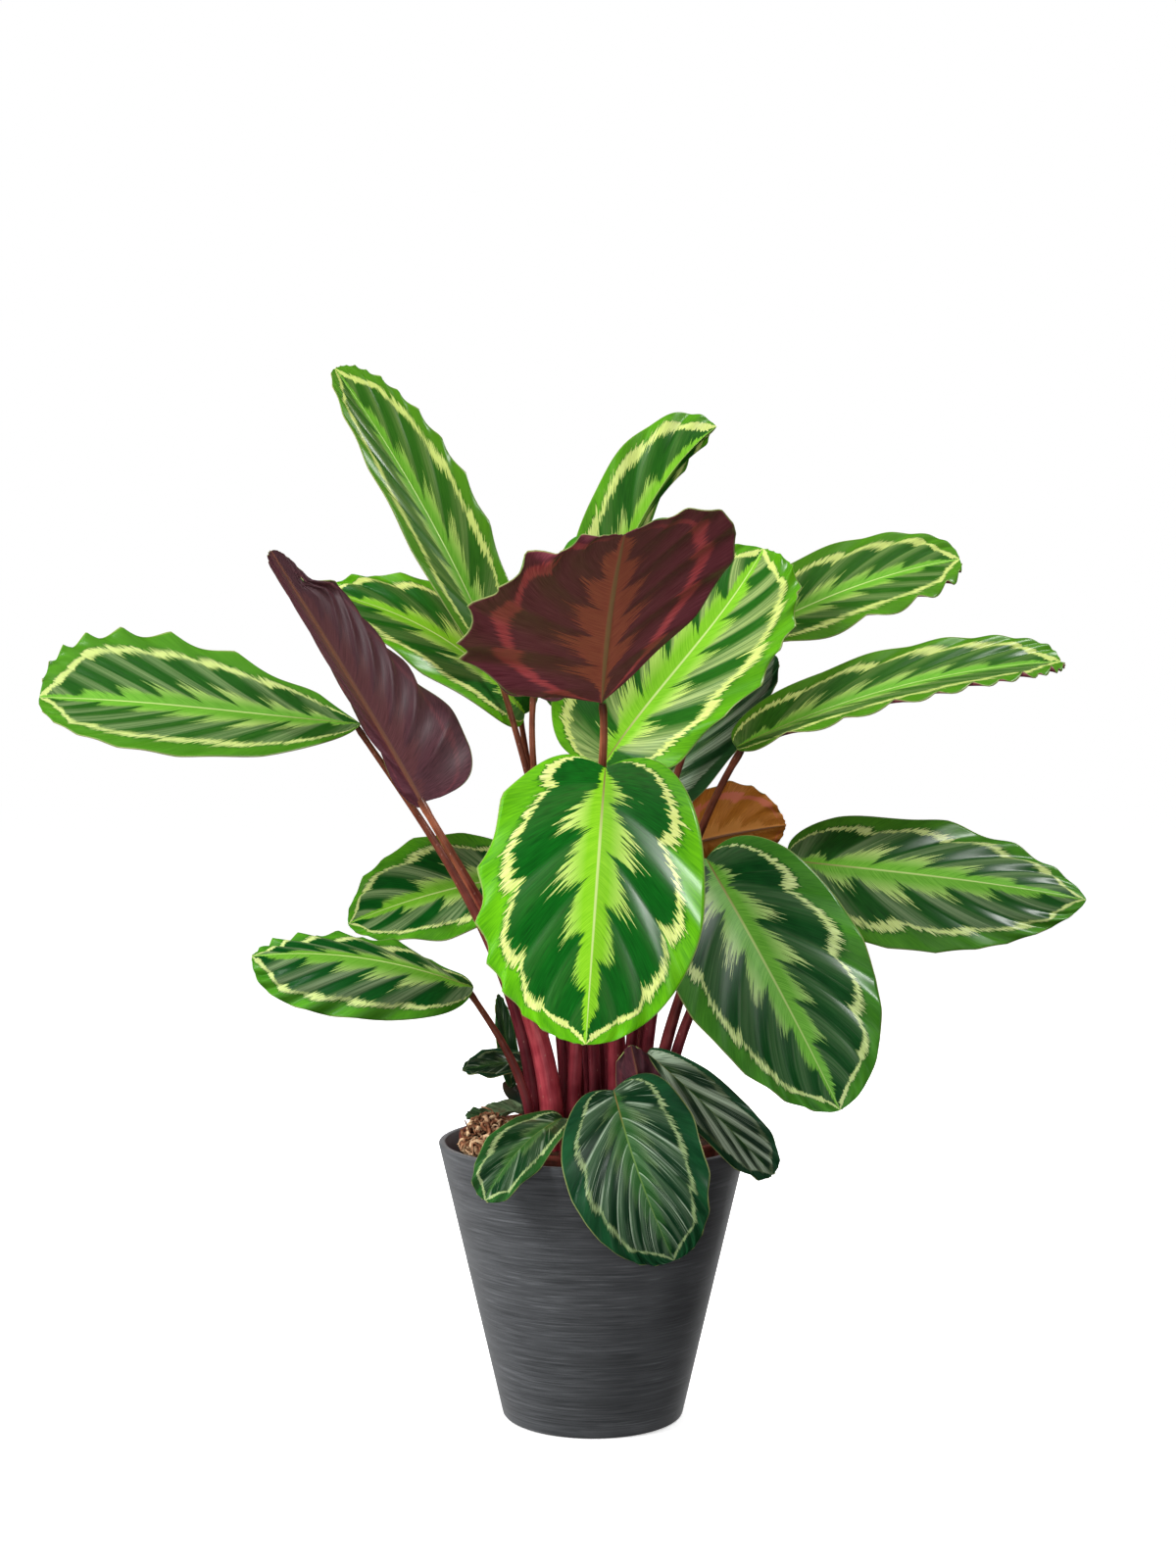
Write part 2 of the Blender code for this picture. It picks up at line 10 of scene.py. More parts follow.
import bpy
import numpy as np
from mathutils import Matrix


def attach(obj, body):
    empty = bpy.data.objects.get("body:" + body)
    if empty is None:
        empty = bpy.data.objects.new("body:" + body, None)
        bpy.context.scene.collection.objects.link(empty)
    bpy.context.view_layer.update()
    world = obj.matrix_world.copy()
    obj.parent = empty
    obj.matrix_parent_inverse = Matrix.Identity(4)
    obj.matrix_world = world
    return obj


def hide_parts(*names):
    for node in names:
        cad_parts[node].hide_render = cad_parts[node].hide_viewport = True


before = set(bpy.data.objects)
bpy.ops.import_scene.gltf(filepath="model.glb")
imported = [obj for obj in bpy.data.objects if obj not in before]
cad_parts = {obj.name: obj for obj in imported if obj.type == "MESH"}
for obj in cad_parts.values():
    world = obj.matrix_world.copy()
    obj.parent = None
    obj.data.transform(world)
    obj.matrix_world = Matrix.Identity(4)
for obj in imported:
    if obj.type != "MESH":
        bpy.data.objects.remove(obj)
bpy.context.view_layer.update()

MM = 0.001


# Planter
# One tapered shell of moulded polypropylene, dark grey and matt, with an open top. Fine lines
# run round it, as if it had been brushed on a wheel. It stands loose on its flat underside.
PLANTER_TOP_RADIUS = 110.0
PLANTER_BASE_RADIUS = 64.6
PLANTER_HEIGHT = 195.0
PLANTER_WALL = 5.0
PLANTER_FLOOR = 6.0
RIM_ROUND = 1.4
FOOT_ROUND = 2.6
TURNED_FACETS = 192
LINE_SPACING = 0.8

# How far from a rounding a point holds the wall straight, and how far it stands in or out there.
HOLD = 1.5
WALL_EASE = 0.4


def linear(hex_colour):
    """An sRGB hex colour as linear RGBA."""
    channels = [int(hex_colour[k:k + 2], 16) / 255 for k in (1, 3, 5)]
    return tuple(c / 12.92 if c <= 0.04045 else ((c + 0.055) / 1.055) ** 2.4 for c in channels) + (1.0,)


def add_node(tree, kind, inputs=(), operation=None, **settings):
    """Add a node, named by its kind alone. Inputs are values, hex colours, sockets or nodes, in
    socket order or by name."""
    families = ("ShaderNode", "GeometryNode", "FunctionNode", "")
    made = tree.nodes.new(next(family + kind for family in families if hasattr(bpy.types, family + kind)))
    if operation:
        made.operation = operation
    for name, value in settings.items():
        setattr(made, name, value)
    for key, value in inputs.items() if isinstance(inputs, dict) else enumerate(inputs):
        if isinstance(value, bpy.types.Node):
            value = next(socket for socket in value.outputs if socket.enabled)
        if isinstance(value, bpy.types.NodeSocket):
            tree.links.new(value, made.inputs[key])
        elif isinstance(value, str) and value.startswith("#"):
            made.inputs[key].default_value = linear(value)
        else:
            made.inputs[key].default_value = value
    return made


def new_material(name):
    """An empty material, and what adds nodes to it."""
    material = bpy.data.materials.new(name)
    material.use_nodes = True
    material.node_tree.nodes.clear()
    return material, partial(add_node, material.node_tree)


def surface(add, colour, roughness, relief=None, **shader_values):
    """End a material with its shader; relief is a height, its strength and its depth in metres."""
    inputs = {"Base Color": colour, "Roughness": roughness, **shader_values}
    if relief:
        inputs["Normal"] = add("Bump", dict(zip(("Height", "Strength", "Distance"), relief)))
    add("OutputMaterial", [add("BsdfPrincipled", inputs)])


def painted(add, colour, *coats):
    """Lay coats over a colour; each is a mask and the coat's own colour."""
    for mask, coat in coats:
        colour = add("Mix", {0: mask, 6: colour, 7: coat}, data_type="RGBA")
    return colour


def streaks(add, place, scale, detail, **more):
    """Noise drawn out along one axis and squeezed along another, as the scale says."""
    at = add("VectorMath", [place, scale], "MULTIPLY")
    return add("TexNoise", {"Vector": at, "Scale": 1.0, "Detail": detail, **more})


def new_tree(name, inputs):
    """A geometry node tree with named inputs, what adds nodes to it, and its inputs' sockets."""
    tree = bpy.data.node_groups.new(name, "GeometryNodeTree")
    for label, kind in {"Geometry": "Geometry", **inputs, "Material": "Material"}.items():
        tree.interface.new_socket(name=label, in_out="INPUT", socket_type="NodeSocket" + kind)
    tree.interface.new_socket(name="Geometry", in_out="OUTPUT", socket_type="NodeSocketGeometry")
    add = partial(add_node, tree)
    return tree, add, add("NodeGroupInput").outputs


def end_tree(add, given, geometry):
    """End a geometry node tree: its result takes the material that the tree is given."""
    dressed = add("SetMaterial", {"Geometry": geometry, "Material": given["Material"]})
    add("NodeGroupOutput", [dressed])


def new_mesh(name, points, edges=(), faces=(), **attributes):
    """A mesh of millimetre points; attributes hold a number or a vector for each point."""
    mesh = bpy.data.meshes.new(name)
    mesh.from_pydata((np.asarray(points, float) * MM).tolist(), list(edges), list(faces))
    for label, values in attributes.items():
        values = np.asarray(values, np.float32)
        kind, field = ("FLOAT", "value") if values.ndim == 1 else ("FLOAT_VECTOR", "vector")
        mesh.attributes.new(label, kind, "POINT").data.foreach_set(field, values.ravel())
    return mesh


def new_piece(name, mesh):
    """An object at the origin that holds the mesh."""
    made = bpy.data.objects.new(name, mesh)
    bpy.context.scene.collection.objects.link(made)
    return made


def grow(name, mesh, tree, **inputs):
    """Run a geometry node tree on a mesh and keep the result as a plain mesh."""
    made = new_piece(name, mesh)
    modifier = made.modifiers.new(tree.name, "NODES")
    modifier.node_group = tree
    for socket in tree.interface.items_tree:
        label = socket.name.replace(" ", "_").lower()
        if socket.in_out == "INPUT" and label in inputs:
            modifier[socket.identifier] = inputs[label]
    depsgraph = bpy.context.evaluated_depsgraph_get()
    result = bpy.data.meshes.new_from_object(made.evaluated_get(depsgraph), depsgraph=depsgraph)
    made.modifiers.remove(modifier)
    made.data = result
    return made


def settle(piece, slot, *nodes):
    """Say which nodes a finished piece stands for and hide them; slot, its finish, is not used."""
    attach(piece, "root")
    if nodes:
        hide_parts(*nodes)


def arc(centre, radius, start, end, steps=4):
    """Points of a round corner in a profile."""
    angles = np.radians(np.linspace(start, end, steps + 1))
    return [(centre[0] + radius * math.cos(a), centre[1] + radius * math.sin(a)) for a in angles]


def rounded_rim(outer, inner, height, rounding):
    """Points of a profile over a rim, from the outside in."""
    return (arc((outer - rounding, height - rounding), rounding, 0, 90)
            + arc((inner + rounding, height - rounding), rounding, 90, 180))


def turned_tree():
    """Turn a profile, given as a mesh of points from the axis round to the axis, into a solid."""
    tree, add, given = new_tree("turned solid", {"Facets": "Int", "Points": "Int"})
    columns = add("Math", [given["Facets"], 1.0], "ADD")
    grid = add("MeshGrid", [1.0, 1.0, columns, given["Points"]])
    row = add("Math", [add("InputIndex"), given["Points"]], "MODULO")
    point = add("InputPosition")
    profile = add("SampleIndex", {
        "Geometry": given["Geometry"], "Value": point, "Index": row}, data_type="FLOAT_VECTOR")
    place = add("SeparateXYZ", [point])
    turn = add("Math", [place, math.tau], "MULTIPLY")
    turned = add("VectorRotate", {"Vector": profile, "Angle": turn}, rotation_type="Z_AXIS")
    moved = add("SetPosition", {"Geometry": grid, "Position": turned})
    closed = add("MergeByDistance", {"Geometry": moved, "Distance": 1e-6})
    smooth = add("SetShadeSmooth", {"Geometry": closed, "Shade Smooth": True})
    end_tree(add, given, smooth)
    return tree


TURNED = turned_tree()


def turned_piece(name, profile, material):
    """A turned solid with its faces pointing out."""
    points = [(radius, 0.0, height) for radius, height in profile]
    made = grow(name, new_mesh(name, points), TURNED, facets=TURNED_FACETS, points=len(points),
                material=material)
    mesh = made.data
    centre = sum((np.array(v.co) for v in mesh.vertices), np.zeros(3)) / len(mesh.vertices)
    corner = np.array(mesh.polygons[0].center) - centre
    if float(corner @ np.array(mesh.polygons[0].normal)) < 0:
        mesh.flip_normals()
    return made


def brushed_plastic():
    """Polypropylene, moulded with fine lines round it: matt, each line a little paler or darker."""
    material, add = new_material("brushed grey polypropylene")
    place = add("TexCoord").outputs["Object"]
    lines = streaks(add, place, (26, 26, 1 / (LINE_SPACING * MM)), 3.0, Roughness=0.6)
    bands = streaks(add, place, (9, 9, 50), 3.0)
    mixed = add("Mix", {0: 0.3, 2: lines, 3: bands})
    tone = add("MapRange", [mixed, 0.3, 0.7, 0.0, 1.0])
    scuffs = streaks(add, place, (30, 30, 700), 2.0)
    scuffed = add("MapRange", [scuffs, 0.56, 0.76, 0.0, 0.45])
    scuffed = add("Math", [scuffed, bands], "MULTIPLY")
    colour = painted(add, "#2e3032", (tone, "#5e6063"), (scuffed, "#94979b"))
    roughness = add("MapRange", [lines, 0.3, 0.7, 0.5, 0.68])
    sheen = {"Sheen Weight": 0.25, "Sheen Roughness": 0.45}
    surface(add, colour, roughness, (lines, 0.35, 0.0003), **sheen)
    return material


def planter_profile():
    """From the axis under the base, up the outside, over the rim and down to the inner floor."""
    inner_base = PLANTER_BASE_RADIUS - PLANTER_WALL
    inner_top = PLANTER_TOP_RADIUS - PLANTER_WALL
    below_rim = PLANTER_HEIGHT - RIM_ROUND - HOLD
    return [
        (0, 0), (PLANTER_BASE_RADIUS - FOOT_ROUND - HOLD, 0),
        *arc((PLANTER_BASE_RADIUS - FOOT_ROUND, FOOT_ROUND), FOOT_ROUND, -90, 0),
        (PLANTER_BASE_RADIUS + WALL_EASE, FOOT_ROUND + HOLD), (PLANTER_TOP_RADIUS - WALL_EASE, below_rim),
        *rounded_rim(PLANTER_TOP_RADIUS, inner_top, PLANTER_HEIGHT, RIM_ROUND),
        (inner_top - WALL_EASE, below_rim), (inner_base + HOLD, PLANTER_FLOOR + 2 * HOLD),
        (inner_base - HOLD, PLANTER_FLOOR), (0, PLANTER_FLOOR)]


planter = turned_piece("grey_planter", planter_profile(), brushed_plastic())
settle(planter, "planter", "planter")


# Nursery pot
# A thin pot of terracotta-coloured polypropylene, as growers use, with a slightly wider rim.
# It stands loose on the planter's floor, and its rim shows behind and at the front left.
SEAT = 6.3
NURSERY_BASE_RADIUS = 57.0
NURSERY_RIM_RADIUS = 95.5
NURSERY_LIP = 1.5
NURSERY_LIP_HEIGHT = 4.0
NURSERY_LIP_SLOPE = 0.4
NURSERY_TOP = 200.0
NURSERY_WALL = 1.5
NURSERY_FLOOR = 1.7
NURSERY_ROUND = 0.6
NURSERY_FOOT_ROUND = 0.5
NURSERY_EASE = 0.3


def terracotta_plastic():
    """Coloured polypropylene, moulded thin: a dull orange, dusty with soil in patches."""
    material, add = new_material("terracotta polypropylene")
    place = add("TexCoord").outputs["Object"]
    dust = add("TexNoise", {"Vector": place, "Scale": 90.0, "Detail": 4.0})
    dusty = add("MapRange", [dust, 0.4, 0.65, 0.1, 0.9])
    colour = painted(add, "#96493a", (dusty, "#4a342a"))
    roughness = add("MapRange", [dust, 0.3, 0.7, 0.45, 0.7])
    surface(add, colour, roughness, (dust, 0.15, 0.0004))
    return material


def nursery_profile():
    """From the axis under the base, up the outside, over the rim and down to the inner floor."""
    under_lip = NURSERY_TOP - NURSERY_LIP_HEIGHT
    wall_top = NURSERY_RIM_RADIUS - NURSERY_LIP
    inner_top = wall_top - NURSERY_WALL
    inner_base = NURSERY_BASE_RADIUS + NURSERY_FOOT_ROUND - NURSERY_WALL
    inner_floor = SEAT + NURSERY_FLOOR
    return [
        (0, SEAT), (NURSERY_BASE_RADIUS - HOLD, SEAT),
        *arc((NURSERY_BASE_RADIUS, SEAT + NURSERY_FOOT_ROUND), NURSERY_FOOT_ROUND, -90, 0),
        (wall_top - NURSERY_EASE, under_lip - HOLD), (wall_top, under_lip),
        (NURSERY_RIM_RADIUS, under_lip + NURSERY_LIP_SLOPE),
        *rounded_rim(NURSERY_RIM_RADIUS, inner_top, NURSERY_TOP, NURSERY_ROUND),
        (inner_top - NURSERY_EASE, NURSERY_TOP - 2 * HOLD),
        (inner_base, inner_floor + NURSERY_FOOT_ROUND), (NURSERY_BASE_RADIUS - HOLD, inner_floor),
        (0, inner_floor)]


nursery = turned_piece("terracotta_nursery_pot", nursery_profile(), terracotta_plastic())
settle(nursery, "nursery_pot", "nursery_pot")


# Soil
# Dark potting mix of peat and bark, pressed into the nursery pot, a little higher at the crown
# of the plant and heaped at the front left. Crumbs of bark lie loose on top.
SOIL_EDGE = 190.0
SOIL_BOTTOM = 8.3
SOIL_INNER_RADIUS = 0.6
SOIL_EDGE_RADIUS = 90.3
SOIL_BASE_RADIUS = 55.7
SOIL_RINGS = 40
SOIL_FACETS = 120
SOIL_LUMP = 5.0
CRUMB_SIZE = 2.6
CRUMBS_PER_SQUARE_METRE = 90000.0

# The mound at the crown and the heap at the front left: x, y, rise and spread.
SOIL_RISES = ((0.0, 0.0, 8.0, 45.0), (-66.0, -36.0, 12.0, 18.0))


def soil_height(x, y):
    """Height of the soil's surface, before its lumps."""
    height = SOIL_EDGE
    for centre_x, centre_y, rise, spread in SOIL_RISES:
        height = height + rise * np.exp(-((x - centre_x) ** 2 + (y - centre_y) ** 2) / spread ** 2)
    return height


def soil_mesh():
    """Soil body: rings out from the crown, then down the pot's wall and in along its floor."""
    radii = list(np.linspace(SOIL_INNER_RADIUS, SOIL_EDGE_RADIUS, SOIL_RINGS)) + [SOIL_BASE_RADIUS]
    angles = np.linspace(0, math.tau, SOIL_FACETS, endpoint=False)
    points, loose = [], []
    for ring, radius in enumerate(radii):
        x, y = radius * np.cos(angles), radius * np.sin(angles)
        bottom = ring == len(radii) - 1
        z = np.full(SOIL_FACETS, SOIL_BOTTOM) if bottom else soil_height(x, y)
        points.append(np.stack([x, y, z], axis=1))
        loose.append(np.full(SOIL_FACETS, 0.0 if ring >= SOIL_RINGS - 1 else 1.0))
    faces = [tuple(range(SOIL_FACETS))]
    for ring in range(len(radii) - 1):
        for k in range(SOIL_FACETS):
            after = (k + 1) % SOIL_FACETS
            a, b = ring * SOIL_FACETS + k, ring * SOIL_FACETS + after
            faces.append((a, a + SOIL_FACETS, b + SOIL_FACETS, b))
    last = (len(radii) - 1) * SOIL_FACETS
    faces.append(tuple(reversed(range(last, last + SOIL_FACETS))))
    return new_mesh("potting_soil", np.vstack(points), faces=faces, loose=np.concatenate(loose))


def soil_tree():
    """Lumps on the soil's top, and crumbs scattered over it."""
    tree, add, given = new_tree("potting soil", {
        "Lump Height": "Float", "Crumb Size": "Float", "Crumb Density": "Float"})
    loose = add("InputNamedAttribute", {"Name": "loose"}, data_type="FLOAT")
    lumps = add("TexNoise", {"Scale": 170.0, "Detail": 4.0})
    centred = add("Math", [lumps, 0.5], "SUBTRACT")
    rise = add("Math", [centred, given["Lump Height"]], "MULTIPLY")
    rise = add("Math", [rise, loose], "MULTIPLY")
    offset = add("CombineXYZ", {"Z": rise})
    lumpy = add("SetPosition", {"Geometry": given["Geometry"], "Offset": offset})
    scattered = add("DistributePointsOnFaces", {
        "Mesh": lumpy, "Selection": loose, "Density": given["Crumb Density"], "Seed": 3})
    crumb = add("MeshIcoSphere", {"Radius": 0.5, "Subdivisions": 1})
    size = add("RandomValue", {2: 0.3, 3: 1.0, "Seed": 5}, data_type="FLOAT")
    size = add("Math", [size, given["Crumb Size"]], "MULTIPLY")
    squash = add("RandomValue", {0: (0.7, 0.5, 0.3), 1: (1.4, 1.0, 0.8), "Seed": 6},
                 data_type="FLOAT_VECTOR")
    scale = add("VectorMath", {0: squash, "Scale": size}, "SCALE")
    turn = add("RandomValue", {0: (-0.6, -0.6, 0.0), 1: (0.6, 0.6, math.tau), "Seed": 7},
               data_type="FLOAT_VECTOR")
    placed = add("InstanceOnPoints", {
        "Points": scattered, "Instance": crumb, "Rotation": turn, "Scale": scale})
    crumbs = add("RealizeInstances", {"Geometry": placed})
    joined = add("JoinGeometry", [crumbs])
    tree.links.new(lumpy.outputs[0], joined.inputs[0])
    end_tree(add, given, joined)
    return tree


def potting_mix():
    """Peat and bark: nearly black when moist, with brown crumbs. Rough all over."""
    material, add = new_material("moist peat and bark")
    place = add("TexCoord").outputs["Object"]
    patches = add("TexNoise", {"Vector": place, "Scale": 260.0, "Detail": 5.0})
    ramp = add("ValToRGB", {"Fac": patches})
    for stop, position, colour in zip(ramp.color_ramp.elements, (0.35, 0.72), ("#1d1612", "#5a3f2c")):
        stop.position = position
        stop.color = linear(colour)
    surface(add, ramp, 0.9, (patches, 0.6, 0.0008))
    return material


soil = grow("potting_soil", soil_mesh(), soil_tree(), lump_height=SOIL_LUMP * MM,
            crumb_size=CRUMB_SIZE * MM, crumb_density=CRUMBS_PER_SQUARE_METRE, material=potting_mix())
settle(soil, "soil", "soil")


# Leaf blades
# Thin waxy leaves, green with a pale ring and a feathered band above, and purple below. Each has
# a raised midrib under it and pleats along its side veins, and its edge is waved.
BLADE_THICKNESS = 0.8
MIDRIB_DEPTH = 1.0
MIDRIB_TIP_RADIUS = 0.6
MIDRIB_WIDENING = 1.3
VEIN_BEND = 1.4
VEIN_START = 0.08
VEIN_STAGGER = 0.5
VEIN_SPREAD = 1.25
VEINS_APART = 20
TIP_SPREAD = 0.01
TOOTH_RISE = 30.0
SNUG = 0.993
PLEAT_RISE = 3.0
PUFF_POWER = 0.8
EDGE_CALM = 0.8
WAVE_RISE = 2.2
SHOULDER_FROM = 0.77
SHOULDER_TO = 0.86
UNEVEN_WAVES = 0.35
UNEVEN_TURNS = 1.7
UNEVEN_STARTS = (0.8, 0.3)
NEARLY_FLAT = 1e-6
ROWS_PER_BAND = 20
ROW_CROWDING = 0.75
FEATHER_REACH = 0.34
ACROSS = (0.0, 0.014, 0.03, 0.055, 0.1, 0.16, 0.23, 0.31, 0.39, 0.47, 0.55, 0.63, 0.71, 0.79, 0.86,
          0.92, 0.965, 1.0)

# What a leaf has unless its own row says otherwise. Pairs are the left and right half, seen from
# above with the tip pointing away, or the base end and the tip end. Each row adds the blade's base
# and tip, the way its upper side faces, and the stem's root, x and y.
LEAF_DEFAULTS = dict(
    # Halves are shares of the half width. Outline holds each half's powers of widening from the
    # base and of narrowing to the tip. Arch and sway bend the midrib towards its face and its right.
    # Each half rises from the midrib by the fold angle and turns by the curl angle to its edge.
    half_width=70, halves=(1.0, 1.0), outline=((0.5, 0.65), (0.5, 0.65)), arch=(0.05, 0.05),
    sway=(0.0, 0.0), fold=(10, 10), curl=(0, 0), curl_tip=None,
    # How far the base of each half reaches back, the tip is drawn back and the edges beside it stand
    # out, and the share of the width that is cut away near the tip.
    lobe=20, notch=0, horns=(0, 0), shoulder=(0, 0),
    # Bands lie between side veins, which lean to the tip by the sweep. Pleat and wave are heights.
    # Teeth is their number in a band, and tooth their size. Waves and teeth that are negative point
    # the other way.
    bands=5, sweep=2.5, pleat=1.8, teeth=2, tooth=(0.01, 0.02), wave=(2, 2),
    # The stem meets the midrib at the nod angle, or runs along aim. Pull is how far it keeps its
    # direction at the root and at the blade, and radii are those there. It ends under the blade,
    # in from its base by the inset and lower by the drop.
    aim=None, nod=45, pull=(0.4, 0.25), radii=(4.0, 2.0), inset=2.0, drop=0.0,
    # Youth is 0 for an old dark leaf and 1 for a young lime one. Silver is the sheen beside the side
    # veins, partly the leaf's own silvery tone and partly painted sheen, light glancing off the pleats
    # painted into the colour; olive is a yellower tone. Ring and feather say how clear these marks are,
    # hook how far the ring bulges in each lobe and band how broad it is. Glow is light that shines
    # through the purple side, and plum a darker tone of it.
    youth=0.4, silver_and_sheen=0.25, olive=0.0, ring=1.0, hook=0.6, band=1.3, feather=1.0, glow=0.0, plum=0.0,
    # How much wider the sheath makes the stem low down, and the stem's tones; dark is painted shade,
    # a near black coat on stems that stand back among the leaves.
    sheath=1.15, rosy=0.2, green=0.0, dark=0.3)

